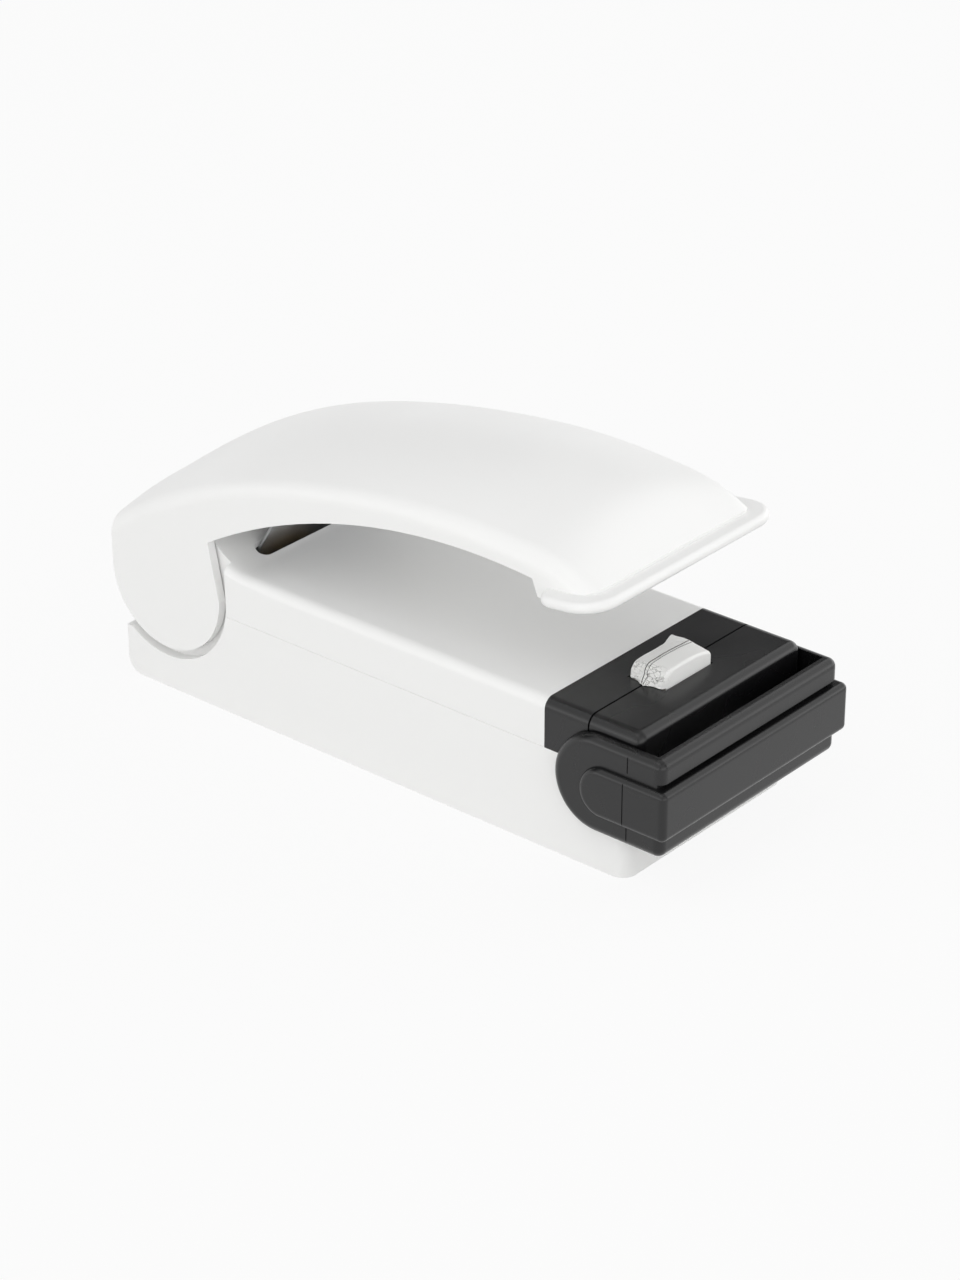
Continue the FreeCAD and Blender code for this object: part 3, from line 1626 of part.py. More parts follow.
def lead(label, points):
    """An insulated lead along straight runs joined by tangent arcs."""
    radius = size("lead_radius").value
    corners = [Vector(dim(x).value, dim(y).value, dim(z).value) for x, y, z in points]
    edges = []
    at = corners[0]
    for before, corner, after in zip(corners, corners[1:], corners[2:]):
        back = (before - corner).normalize()
        ahead = (after - corner).normalize()
        cut = BEND_SHARE * min(before.distanceToPoint(corner), after.distanceToPoint(corner))
        start = corner + back * cut
        end = corner + ahead * cut
        half_turn = (math.pi - back.getAngle(ahead)) / 2
        bend = cut / math.tan(half_turn)
        inwards = (back + ahead).normalize()
        middle = corner + inwards * (bend / math.cos(half_turn) - bend)
        edges.append(Part.LineSegment(at, start).toShape())
        edges.append(Part.Arc(start, middle, end).toShape())
        at = end
    edges.append(Part.LineSegment(at, corners[-1]).toShape())
    path = Part.Wire(edges)
    direction = (corners[1] - corners[0]).normalize()
    section = Part.Wire([Part.Circle(corners[0], direction, radius).toShape()])
    feature = doc.addObject("Part::Feature", label)
    feature.Label = label
    feature.Shape = path.makePipeShell([section], True, False)
    parts.append(feature)
    return feature


def leads():
    """Two leads from the contacts at the partition to the heater's carrier."""
    start_x = partition_front
    end_z = size("carrier_height") - size("lead_radius")
    for label, way in (("lead_positive", 1), ("lead_switch", -1)):
        y = cell_y * way
        end_y = size("lead_spacing") * HALF * way
        gap = size("lead_end_gap")
        lead(
            label,
            [
                (start_x, y, cell_z),
                (start_x + size("lead_straight"), y, cell_z),
                (start_x + size("lead_run"), (y + end_y) * HALF, cell_z + size("lead_rise")),
                (head_rear - gap, end_y, end_z),
                (slit_x - gap, end_y, end_z),
            ],
        )


# ---------------------------------------------------------------- build

lower_housing()
upper_housing()
battery_door()
head_cover_rear()
head_cover_front()
handle_shell()
hinge_axle()
latch()
latch_pin(1)
latch_pin(-1)
heater_carrier()
heater_block()
heating_wires()
release_cloth()
aa_cell("aa_cell_left", 1)
aa_cell("aa_cell_right", -1)
contact_width = size("contact_width")
rear_plate_x = bay_rear
front_plate_x = bay_front - size("contact_thickness")
dimpled_contact("series_link", rear_plate_x, dim(0), size("cell_spacing") + contact_width, -cell_y, 1)
dimpled_contact("contact_positive", front_plate_x, cell_y, contact_width, cell_y, -1)
contact_plate("contact_negative", front_plate_x, -cell_y, contact_width)
cell_spring("cell_spring_rear", rear_plate_x + size("contact_thickness"), cell_y, 1)
cell_spring("cell_spring_front", front_plate_x, -cell_y, -1)
bay_cover()
leaf_spring()
spring_clamp()
switch_strip()
clamp_seat = parting + size("leaf_thickness") + size("clamp_thickness")
clamp_grip = clamp_seat - cover_bottom
for number, way in ((1, 1), (2, -1)):
    name = "clamp_screw_" + str(number)
    screw(name, clamp_x(), size("clamp_screw_spacing") * HALF * way, clamp_seat, clamp_grip, DOWN)
    name = "carrier_screw_" + str(number)
    screw(name, slit_x, post_y * way, carrier_top, carrier_screw_length(), DOWN)
for number, (x, way) in enumerate([(x, way) for x in case_screw_rows for way in (1, -1)], start=1):
    reach = case_height - wall - size("case_screw_depth") - size("screw_play")
    screw("case_screw_" + str(number), x, case_screw_y * way, size("case_screw_depth"), reach, UP)
press_pad()
pad_carrier()
leads()
doc.recompute()

for item in doc.Objects:
    if "Invalid" in item.State or "Error" in item.State:
        raise ValueError(item.Name + " is " + str(item.State))
for part in parts:
    if part.Shape.isNull() or not part.Shape.isValid():
        raise ValueError(part.Label + " has no valid shape")

os.makedirs("parts", exist_ok=True)
for part in parts:
    part.Shape.exportStep("parts/" + part.Label + ".step")
    print(part.Label, len(part.Shape.Solids), "solid,", round(part.Shape.Volume, 1), "mm3")
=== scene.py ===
import math

import bmesh
import bpy
from mathutils import Matrix, Vector, noise


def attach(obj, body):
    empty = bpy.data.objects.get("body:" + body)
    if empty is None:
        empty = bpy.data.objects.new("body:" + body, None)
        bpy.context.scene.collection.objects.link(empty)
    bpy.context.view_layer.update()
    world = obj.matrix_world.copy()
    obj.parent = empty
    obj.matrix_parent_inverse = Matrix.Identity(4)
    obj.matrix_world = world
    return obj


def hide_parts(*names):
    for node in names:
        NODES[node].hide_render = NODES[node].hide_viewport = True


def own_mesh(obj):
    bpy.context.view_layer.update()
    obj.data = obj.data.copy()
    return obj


# A palm-sized bag sealer: white case and handle, black head and latch, a cloth-wrapped heating block.
# Metres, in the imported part's frame: +X towards the sealing head, +Z up, resting on z = 0.

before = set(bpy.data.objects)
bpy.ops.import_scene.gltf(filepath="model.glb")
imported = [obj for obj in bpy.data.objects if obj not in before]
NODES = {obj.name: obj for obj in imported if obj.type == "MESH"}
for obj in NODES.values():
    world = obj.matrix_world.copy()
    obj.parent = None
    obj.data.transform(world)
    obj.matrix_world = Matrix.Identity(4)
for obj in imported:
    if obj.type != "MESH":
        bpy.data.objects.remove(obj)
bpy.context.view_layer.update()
MM = 0.001
scene = bpy.context.scene


def linear(code):
    """An sRGB hex colour as linear RGBA."""
    channels = []
    for place in (1, 3, 5):
        value = int(code[place:place + 2], 16) / 255
        channels.append(value / 12.92 if value <= 0.04045 else ((value + 0.055) / 1.055) ** 2.4)
    return (*channels, 1.0)


# ---------------------------------------------------------------- camera

FOCAL_MM = 105.77
SENSOR_MM = 36.0
VIEW_AZIMUTH = 40.236
VIEW_ELEVATION = 27.668
VIEW_DISTANCE = 581.952 * MM
VIEW_RIGHT = -22.454 * MM
VIEW_UP = 24.125 * MM
VIEW_ORIGIN = Vector((32.85 * MM, 0, 0))


def make_camera():
    """Looks down at the near side and the head."""
    turn = math.radians(VIEW_AZIMUTH)
    tilt = math.radians(VIEW_ELEVATION)
    ahead = Vector((-math.sin(turn) * math.cos(tilt), math.cos(turn) * math.cos(tilt), -math.sin(tilt)))
    right = Vector((math.cos(turn), math.sin(turn), 0))
    up = right.cross(ahead)
    data = bpy.data.cameras.new("camera")
    data.lens = FOCAL_MM
    data.sensor_width = SENSOR_MM
    data.clip_start = 0.01
    data.clip_end = 50
    camera = bpy.data.objects.new("camera", data)
    scene.collection.objects.link(camera)
    place = VIEW_ORIGIN - ahead * VIEW_DISTANCE + right * VIEW_RIGHT + up * VIEW_UP
    camera.matrix_world = Matrix(
        (
            (right.x, up.x, -ahead.x, place.x),
            (right.y, up.y, -ahead.y, place.y),
            (right.z, up.z, -ahead.z, place.z),
            (0, 0, 0, 1),
        )
    )
    scene.camera = camera


make_camera()


# ---------------------------------------------------------------- materials

BUMP_STRENGTH = 0.6
FLOW_WAVE_MM = 14
DULL_PATCH_MM = 3.5
FILM_WAVE_MM = 6


def add(tree, kind, links=None, **settings):
    """Adds a node. Links feed its inputs; settings are its properties, or values of its inputs."""
    node = tree.nodes.new(kind)
    for name, value in settings.items():
        if hasattr(node, name):
            setattr(node, name, value)
        else:
            node.inputs[name.replace("_", " ")].default_value = value
    for name, source in (links or {}).items():
        tree.links.new(source, node.inputs[name])
    return node


def new_material(name, **shader):
    """A material with one Principled shader, whose plain values are set on its own sockets."""
    made = bpy.data.materials.new(name)
    made.use_nodes = True
    tree = made.node_tree
    bsdf = tree.nodes["Principled BSDF"]
    for socket, value in shader.items():
        bsdf.inputs[socket.replace("_", " ")].default_value = value
    place = add(tree, "ShaderNodeTexCoord").outputs["Object"]
    return made, tree, bsdf, place


def roughness_between(tree, bsdf, factor, low, high):
    """Lets a pattern move the shader's roughness from low to high."""
    spread = add(tree, "ShaderNodeMapRange", {"Value": factor}, From_Min=0.3, From_Max=0.7)
    spread.inputs["To Min"].default_value = low
    spread.inputs["To Max"].default_value = high
    tree.links.new(spread.outputs["Result"], bsdf.inputs["Roughness"])


def colour_between(tree, bsdf, factor, first, second):
    """Lets a pattern move the shader's colour from one hex colour to another."""
    mixed = add(tree, "ShaderNodeMix", data_type="RGBA")
    # Sockets 6 and 7 hold the two colours, and output 2 is the mixed one.
    mixed.inputs[6].default_value = linear(first)
    mixed.inputs[7].default_value = linear(second)
    tree.links.new(factor, mixed.inputs[0])
    tree.links.new(mixed.outputs[2], bsdf.inputs["Base Color"])


def bumps(tree, bsdf, *layers):
    """Stacks height patterns, each with its depth in millimetres, on the shader's normal."""
    links = {}
    for height, depth_mm in layers:
        links["Height"] = height
        bump = add(tree, "ShaderNodeBump", links, Strength=BUMP_STRENGTH, Distance=depth_mm * MM)
        links = {"Normal": bump.outputs["Normal"]}
    tree.links.new(links["Normal"], bsdf.inputs["Normal"])


def stretched(tree, place, across_mm, along_mm, lengthwise):
    """Coordinates for a pattern that is long along one axis and fine across the other two."""
    scale = [1 / (across_mm * MM)] * 3
    scale[lengthwise] = 1 / (along_mm * MM)
    return add(tree, "ShaderNodeMapping", {"Vector": place}, Scale=scale).outputs["Vector"]


def moulded(name, code, roughness, specular, grain_mm, grain_depth_mm, wave_depth_mm):
    """Injection-moulded ABS: an even fine grain, slow changes of gloss and faint flow waves."""
    made, tree, bsdf, place = new_material(
        name, Base_Color=linear(code), Roughness=roughness, IOR=1.54, Specular_IOR_Level=specular
    )
    grain = add(tree, "ShaderNodeTexNoise", {"Vector": place}, Scale=1 / (grain_mm * MM), Detail=3.0)
    waves = add(tree, "ShaderNodeTexNoise", {"Vector": place}, Scale=1 / (FLOW_WAVE_MM * MM), Detail=1.0)
    roughness_between(tree, bsdf, waves.outputs["Fac"], roughness - 0.04, roughness + 0.05)
    bumps(tree, bsdf, (grain.outputs["Fac"], grain_depth_mm), (waves.outputs["Fac"], wave_depth_mm))
    return made


def worked_metal(name, code, dull, roughness, line_mm, lengthwise):
    """Metal with the fine parallel lines of rolling or turning, and slightly duller patches."""
    made, tree, bsdf, place = new_material(name, Metallic=1.0, Base_Color=linear(code), Roughness=roughness)
    fine = stretched(tree, place, line_mm, 40 * line_mm, lengthwise)
    lines = add(tree, "ShaderNodeTexNoise", {"Vector": fine}, Scale=1.0, Detail=2.0)
    patches = add(tree, "ShaderNodeTexNoise", {"Vector": place}, Scale=1 / (DULL_PATCH_MM * MM), Detail=3.0)
    colour_between(tree, bsdf, patches.outputs["Fac"], code, dull)
    roughness_between(tree, bsdf, lines.outputs["Fac"], roughness - 0.06, roughness + 0.1)
    bumps(tree, bsdf, (lines.outputs["Fac"], 0.004))
    return made


def flecked(name, code, fleck, roughness, ior, fleck_mm, depth_mm, lengthwise=0, grain=1.0):
    """Pressed, fired, cast or extruded stuff: small flecks of a second colour and a matching relief."""
    made, tree, bsdf, place = new_material(name, Base_Color=linear(code), Roughness=roughness, IOR=ior)
    along = stretched(tree, place, fleck_mm, fleck_mm * grain, lengthwise)
    flecks = add(tree, "ShaderNodeTexNoise", {"Vector": along}, Scale=1.0, Detail=4.0)
    share = add(tree, "ShaderNodeMapRange", {"Value": flecks.outputs["Fac"]}, From_Min=0.52, From_Max=0.7)
    colour_between(tree, bsdf, share.outputs["Result"], code, fleck)
    roughness_between(tree, bsdf, flecks.outputs["Fac"], roughness - 0.05, roughness + 0.07)
    bumps(tree, bsdf, (flecks.outputs["Fac"], depth_mm))
    return made


CELL_REAR_MM = -46.3
CELL_FRONT_MM = 3.7
SLEEVE_END_MM = 1.6


def cell_sleeve():
    """Plain shrink sleeve on an AA cell: satin slate film, bare nickel-plated ends."""
    made, tree, bsdf, place = new_material("shrunk_pvc_sleeve", IOR=1.53)
    axes = add(tree, "ShaderNodeSeparateXYZ", {"Vector": place})
    middle = (CELL_REAR_MM + CELL_FRONT_MM) / 2 * MM
    reach = (CELL_FRONT_MM - CELL_REAR_MM) / 2 * MM - SLEEVE_END_MM * MM
    offset = add(tree, "ShaderNodeMath", {0: axes.outputs["X"]}, operation="SUBTRACT")
    offset.inputs[1].default_value = middle
    distance = add(tree, "ShaderNodeMath", {0: offset.outputs[0]}, operation="ABSOLUTE")
    bare = add(tree, "ShaderNodeMath", {0: distance.outputs[0]}, operation="GREATER_THAN")
    bare.inputs[1].default_value = reach
    film = add(tree, "ShaderNodeTexNoise", {"Vector": place}, Scale=1 / (FILM_WAVE_MM * MM), Detail=2.0)
    colour_between(tree, bsdf, bare.outputs[0], "#2B3640", "#BDBDB8")
    gloss = add(tree, "ShaderNodeMapRange", {"Value": film.outputs["Fac"]}, To_Min=0.28, To_Max=0.42)
    tree.links.new(gloss.outputs["Result"], bsdf.inputs["Roughness"])
    tree.links.new(bare.outputs[0], bsdf.inputs["Metallic"])
    bumps(tree, bsdf, (film.outputs["Fac"], 0.02))
    return made


# The threads are drawn a little coarser than real ones, so that the weave shows.
THREAD_MM = 0.42
# Size of the net of grey lines that paint shade into the cloth's creases.
CREASE_SHADE_LINE_MM = 0.6
BLOTCH_MM = 1.8
# The mesh's own share of painted shade for its creases at each point, mostly on the near end.
CREASE_SHADE_LAYER = "crease_shade_share"


def coated_glass_cloth():
    """Glass cloth coated with white PTFE: waxy satin, a faint weave, and fine grey lines of painted shade
    over its creased near end.
    """
    made, tree, bsdf, place = new_material(
        "coated_glass_cloth", IOR=1.38, Roughness=0.5, Sheen_Weight=0.15, Sheen_Roughness=0.5
    )
    threads = add(tree, "ShaderNodeMapping", {"Vector": place}, Scale=[2 * math.pi / (THREAD_MM * MM)] * 3)
    axes = add(tree, "ShaderNodeSeparateXYZ", {"Vector": threads.outputs["Vector"]})
    weave = None
    for axis in "XYZ":
        wave = add(tree, "ShaderNodeMath", {0: axes.outputs[axis]}, operation="SINE").outputs[0]
        if weave is not None:
            wave = add(tree, "ShaderNodeMath", {0: weave, 1: wave}, operation="ADD").outputs[0]
        weave = wave
    blotch = add(tree, "ShaderNodeTexNoise", {"Vector": place}, Scale=1 / (BLOTCH_MM * MM), Detail=4.0)
    # Painted shade: a net of thin grey lines, broken into patches, standing in for the shade in the creases.
    flat = stretched(tree, place, CREASE_SHADE_LINE_MM, CREASE_SHADE_LINE_MM * 1.7, 0)
    bent = add(tree, "ShaderNodeTexNoise", {"Vector": flat}, Scale=1.3, Detail=3.0)
    bend = add(tree, "ShaderNodeVectorMath", {0: bent.outputs["Color"], 1: flat}, operation="ADD")
    cells = add(tree, "ShaderNodeTexVoronoi", {"Vector": bend.outputs[0]}, feature="DISTANCE_TO_EDGE")
    cells.inputs["Scale"].default_value = 1.0
    away = cells.outputs["Distance"]
    line = add(tree, "ShaderNodeMapRange", {"Value": away}, From_Max=0.075, To_Min=1.0, To_Max=0.0)
    broken = add(tree, "ShaderNodeMapRange", {"Value": blotch.outputs["Fac"]}, From_Min=0.4, From_Max=0.56)
    # Where the mesh puts painted shade: its creased near end and the top beside it.
    folded = add(tree, "ShaderNodeAttribute", attribute_name=CREASE_SHADE_LAYER).outputs["Fac"]
    seen = add(tree, "ShaderNodeMath", {0: line.outputs[0], 1: broken.outputs[0]}, operation="MULTIPLY")
    painted_crease_shade = add(tree, "ShaderNodeMath", {0: seen.outputs[0], 1: folded}, operation="MULTIPLY")
    # Painted shade for the creases: the white cloth turns grey on these lines, where the mesh marks it.
    colour_between(tree, bsdf, painted_crease_shade.outputs[0], "#F3F3F1", "#57544F")
    roughness_between(tree, bsdf, blotch.outputs["Fac"], 0.44, 0.58)
    bumps(tree, bsdf, (blotch.outputs["Fac"], 0.03), (weave, 0.004))
    return made


FINISHES = {
    # White ABS from a polished tool: clean, slightly soft shine, no visible texture.
    "white_abs": moulded("polished_white_abs", "#F3F3F2", 0.36, 0.5, 0.35, 0.003, 0.05),
    # Black ABS from a finely eroded tool: deep charcoal with a satin edge light.
    "black_abs": moulded("satin_black_abs", "#111112", 0.26, 0.46, 0.3, 0.005, 0.03),
    # Hardened strip, cold rolled: bright grey with lines along the leaf.
    "spring_steel": worked_metal("rolled_spring_steel", "#C9CACC", "#B4B5B7", 0.46, 0.12, 2),
    # Turned and zinc plated steel: bright with a faint blue-grey haze.
    "bright_steel": worked_metal("plated_turned_steel", "#C8C9CB", "#AEB0B3", 0.24, 0.08, 1),
    # Nickel on thin sheet: the brightest metal inside, slightly warm.
    "plated_contacts": worked_metal("nickel_plated_sheet", "#D2D0CA", "#BDBAB2", 0.18, 0.1, 1),
    # Rolled brass strip, a little tarnished: dull gold.
    "brass_strip": worked_metal("rolled_brass", "#D8B56A", "#AD8846", 0.28, 0.1, 1),
    # Flat nickel-chrome wire, oxidised by use: dark and barely shiny.
    "heating_wire": worked_metal("oxidised_heating_wire", "#3B3836", "#24211F", 0.5, 0.1, 1),
    # Coated glass cloth, folded over the block: white and waxy, with grey lines of painted shade over its
    # creased near end.
    "release_cloth": coated_glass_cloth(),
    # Phenolic paper board, pressed: brown with darker fibres along it.
    "phenolic": flecked("pressed_phenolic_board", "#6B4527", "#3F2614", 0.42, 1.6, 0.35, 0.01, 1, 8.0),
    # Fired steatite: off-white, dry, with fine pores.
    "ceramic_block": flecked("fired_steatite", "#E6E0D4", "#CFC7B8", 0.7, 1.6, 0.3, 0.02),
    # Cast silicone rubber: mid grey, dull, slightly dusty.
    "silicone": flecked("cast_silicone_rubber", "#707072", "#7E7E80", 0.62, 1.42, 0.5, 0.01),
    # Shrunk PVC sleeve between bare metal ends: slate film with a soft shine.
    "cell_jacket": cell_sleeve(),
    # Vulcanised fibre sheet: pale grey and matt, with short fibres.
    "bay_sheet": flecked("vulcanised_fibre_sheet", "#D9D9D7", "#C4C3C0", 0.6, 1.5, 0.4, 0.012, 0, 6.0),
    # Extruded PVC insulation: waxy shine, faint lines along the wire.
    "red_lead": flecked("extruded_red_pvc", "#A51E18", "#8E1712", 0.38, 1.53, 0.2, 0.006, 0, 20.0),
    "black_lead": flecked("extruded_black_pvc", "#161617", "#1E1E20", 0.38, 1.53, 0.2, 0.006, 0, 20.0),
}


def dress():
    """Gives every CAD node the finish of its own material slot."""
    for node in NODES.values():
        for held in node.material_slots:
            slot = held.material.name.split(".")[0] if held.material else ""
            if slot in FINISHES:
                held.material = FINISHES[slot]


dress()


# ---------------------------------------------------------------- mesh helpers


def finish_piece(name, mesh, body, slot, *nodes):
    """Makes a smooth-shaded piece that rides on a body and stands for CAD nodes."""
    mesh.materials.append(FINISHES[slot])
    mesh.shade_smooth()
    piece = bpy.data.objects.new(name, mesh)
    scene.collection.objects.link(piece)
    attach(piece, body)
    if nodes:
        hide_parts(*nodes)
    return piece


def curve_through(stations, at):
    """A smooth line through (place, value) stations, read at one place."""
    last = len(stations) - 1
    number = 0
    while number < last - 1 and at > stations[number + 1][0]:
        number += 1
    (x1, y1), (x2, y2) = stations[number], stations[number + 1]
    x0, y0 = stations[max(number - 1, 0)]
    x3, y3 = stations[min(number + 2, last)]
    share = min(max((at - x1) / (x2 - x1), 0.0), 1.0)
    span = x2 - x1
    leave = (y2 - y0) / max(x2 - x0, 1e-9) * span
    arrive = (y3 - y1) / max(x3 - x1, 1e-9) * span
    a = 2 * share**3 - 3 * share**2 + 1
    b = share**3 - 2 * share**2 + share
    c = -2 * share**3 + 3 * share**2
    d = share**3 - share**2
    return a * y1 + b * leave + c * y2 + d * arrive


def eased(value, low, high):
    """0 below low, 1 above high, smooth between."""
    share = min(max((value - low) / (high - low), 0.0), 1.0)
    return share * share * (3 - 2 * share)


def places(low, high, step):
    """Even places from low to high, both included, about a step apart."""
    count = max(round((high - low) / step), 1)
    return [low + (high - low) * n / count for n in range(count + 1)]


def tube(shape, line, radius, sides=8):
    """A round tube along a line of points, closed at both ends."""
    rings = []
    side = Vector((1, 0, 0))
    turns = [2 * math.pi * n / sides for n in range(sides)]
    for number, middle in enumerate(line):
        ahead = line[min(number + 1, len(line) - 1)] - line[max(number - 1, 0)]
        ahead.normalize()
        side = (side - ahead * side.dot(ahead)).normalized()
        other = ahead.cross(side)
        spots = [middle + (side * math.cos(turn) + other * math.sin(turn)) * radius for turn in turns]
        rings.append([shape.verts.new(spot) for spot in spots])
    for one, two in zip(rings, rings[1:]):
        for n in range(sides):
            shape.faces.new((one[n], one[(n + 1) % sides], two[(n + 1) % sides], two[n]))
    shape.faces.new(list(reversed(rings[0])))
    shape.faces.new(rings[-1])


def to_mesh(name, shape):
    """Turns every face outwards and makes the finished mesh."""
    bmesh.ops.recalc_face_normals(shape, faces=shape.faces)
    mesh = bpy.data.meshes.new(name)
    shape.to_mesh(mesh)
    shape.free()
    return mesh


# ---------------------------------------------------------------- release cloth

# Millimetres. The cloth covers the block's top and four sides; its near end is folded over and frayed.
CLOTH_REAR = 38.0
CLOTH_FRONT = 44.85
CLOTH_NEAR = -6.5
CLOTH_FAR = 5.1
CLOTH_FOOT = 21.5
COVER_TOP = 25.4

# A height above all of the cloth: a point from there comes to lie on its top.
ABOVE_CLOTH = 29.0

# Its two long top edges: place across the case, and height.
FRONT_EDGE = (
    (-6.5, 28.15),
    (-4.6, 28.3),
    (-2.2, 28.4),
    (0.0, 28.35),
    (2.0, 28.15),
    (4.0, 27.7),
    (5.1, 27.2),
)
REAR_EDGE = (
    (-6.5, 27.7),
    (-3.7, 27.8),
    (0.7, 27.75),
    (2.2, 27.8),
    (3.4, 28.1),
    (4.3, 28.35),
    (5.1, 28.4),
)

# A low ridge over the wires, which fades out towards the far end.
RIDGE_X = 41.2
RIDGE_LIFT = 0.3
RIDGE_REACH = 1.5
RIDGE_FADE = (1.0, 5.0)

# How round the cloth lies over each edge of the block, and how its far end slants.
EDGE_ROUND = 0.5
CORNER_ROUND = 0.12
NEAR_ROUND = 1.7
FAR_ROUND = 0.4
FAR_SLANT = 1.0
SLANT_REACH = 2.6
FAR_REACH = 3.0
NEAR_REACH = 2.6

# Where the far rear corner stands up, and where creases and the loose foot fade in or out.
UPTURN_ACROSS = (1.5, 3.6)
UPTURN_ALONG = (CLOTH_REAR + 0.2, CLOTH_REAR + 2.4)
OUT_OF_COVER = (COVER_TOP - 0.4, COVER_TOP + 0.2)
LOOSE_FOOT = (COVER_TOP, COVER_TOP + 1.3)
REAR_FADE = (CLOTH_REAR, CLOTH_REAR + 0.8)
FRONT_FADE = (CLOTH_FRONT - 0.9, CLOTH_FRONT)
OVER_END = (CLOTH_NEAR + 0.6, CLOTH_NEAR + 2.2)
OVER_END_SHARE = 0.8

# Place along the head, and how far the loose foot of the near end stands out there.
FLARE = ((38.0, 0.0), (39.6, 0.15), (40.9, 0.95), (41.9, 0.85), (42.8, 0.3), (43.9, 0.35), (44.85, 0.0))
FRAY = 0.25

# Size and depth of each set of creases, their form, and the height of the cloth's slow waves.
CREASE_SETS = ((1.0, 0.14), (0.45, 0.07), (0.22, 0.03))
CREASE_LONG = 1.9
CREASE_HIGH = 0.8
CREASE_SHARP = 5
WAVE_HEIGHT = 0.05

# The two wires: place along the head, radius, depth in the cloth and its change, both in radii.
WIRES = ((40.9, 0.06, 0.4, 0.3), (41.45, 0.045, 0.75, 1.0))
WIRE_RIDGE = 0.05
WIRE_RIDGE_REACH = 0.16
WIRE_STEP = 0.15
WIRE_SHORT_OF_FAR = 0.6
WIRE_TURN_HEIGHT = 27.4
WIRE_ABOVE_COVER = 0.25
WIRE_DRIFT = 0.15
POINTS_DOWN_END = 14

# How far a wire strays sideways, and how quickly, on the top and down the near end.
STRAY_ON_TOP = 0.03
STRAY_ON_TOP_RATE = 1.3
STRAY_DOWN_END = 0.05
STRAY_DOWN_END_RATE = 4

# Spacing of the cloth's points: on its top, low on its sides, and where its sides show.
GRID_STEP = 0.1
HIDDEN_STEP = 0.9
SHOWN_STEP = 0.08
SHOWN_FROM = COVER_TOP - 0.3
SHOWN_TO = 28.0

# The near end's loose foot stops here, just above the cover.
HEM_HEIGHT = COVER_TOP + 0.04


def cloth_top(x, y):
    """Height of the block's covered top, before its edges are rounded."""
    front = curve_through(FRONT_EDGE, y)
    rear = curve_through(REAR_EDGE, y)
    share = (x - CLOTH_REAR) / (CLOTH_FRONT - CLOTH_REAR)
    ridge = RIDGE_LIFT * math.exp(-(((x - RIDGE_X) / RIDGE_REACH) ** 2)) * (1 - eased(y, *RIDGE_FADE))
    return rear + (front - rear) * share + ridge


def cloth_far(x):
    """The far end slants: it is shorter at the rear, where its corner stands up."""
    return CLOTH_FAR - FAR_SLANT * (1 - eased(x, CLOTH_REAR, CLOTH_REAR + SLANT_REACH))


def crumple(x, z):
    """Depth of the creases on the near end."""
    depth = 0.0
    for size, deepest in CREASE_SETS:
        value = abs(noise.noise(Vector((x / (size * CREASE_LONG), z / (size * CREASE_HIGH), size * 7))))
        depth += deepest * (1 - min(value * CREASE_SHARP, 1.0))
    return depth


def cloth_point(x, y, z):
    """Where a point of the plain box lies on the cloth, in millimetres, and how much painted shade for
    creases it takes there.
    """
    top = cloth_top(x, y)
    far = cloth_far(x)
    if y > CLOTH_FAR - FAR_REACH:
        y = y + (far - CLOTH_FAR) * (y - CLOTH_FAR + FAR_REACH) / FAR_REACH
    near_share = 1 - eased(y, CLOTH_NEAR, CLOTH_NEAR + NEAR_REACH)
    upturned = eased(y, *UPTURN_ACROSS) * (1 - eased(x, *UPTURN_ALONG))
    edge_round = EDGE_ROUND + (CORNER_ROUND - EDGE_ROUND) * upturned
    round_z = edge_round + (NEAR_ROUND - edge_round) * near_share
    round_y = NEAR_ROUND if y < 0 else FAR_ROUND + (CORNER_ROUND - FAR_ROUND) * upturned
    z = min(z, top)
    held_x = min(max(x, CLOTH_REAR + edge_round), CLOTH_FRONT - edge_round)
    held_y = max(y, CLOTH_NEAR + NEAR_ROUND)
    if y >= 0:
        held_y = min(held_y, far - round_y)
    held = Vector((held_x, held_y, min(z, top - round_z)))
    reach = Vector(((x - held.x) / edge_round, (y - held.y) / round_y, (z - held.z) / round_z))
    if reach.length > 1e-6:
        reach.normalize()
    spot = held + Vector((reach.x * edge_round, reach.y * round_y, reach.z * round_z))
    facing_near = max(-reach.y, 0.0)
    shown = eased(spot.z, *OUT_OF_COVER)
    low = 1 - eased(spot.z, *LOOSE_FOOT)
    inside = eased(x, *REAR_FADE) * (1 - eased(x, *FRONT_FADE))
    spot.y += facing_near * shown * (0.25 + 0.75 * inside) * crumple(spot.x, spot.z)
    spot.y -= facing_near * low * curve_through(FLARE, x) * inside
    spot.y -= facing_near * low * FRAY * noise.noise(Vector((x * 2.3, 3.0, 0.0))) * inside
    over_end = OVER_END_SHARE * (1 - eased(spot.y, *OVER_END))
    # Share of painted shade for the creases: the near end and the top beside it, above the cover.
    crease_shade = shown * max(facing_near, over_end) * (0.35 + 0.65 * inside)
    for wire_x, *_ in WIRES:
        ridge = WIRE_RIDGE * math.exp(-(((x - wire_x) / WIRE_RIDGE_REACH) ** 2))
        spot.z += ridge * max(reach.z, 0.0)
    waves = WAVE_HEIGHT * noise.noise(Vector((x * 0.6, y * 0.35, 1.0)))
    spot.z += waves * max(reach.z, 0.0)
    return spot, crease_shade


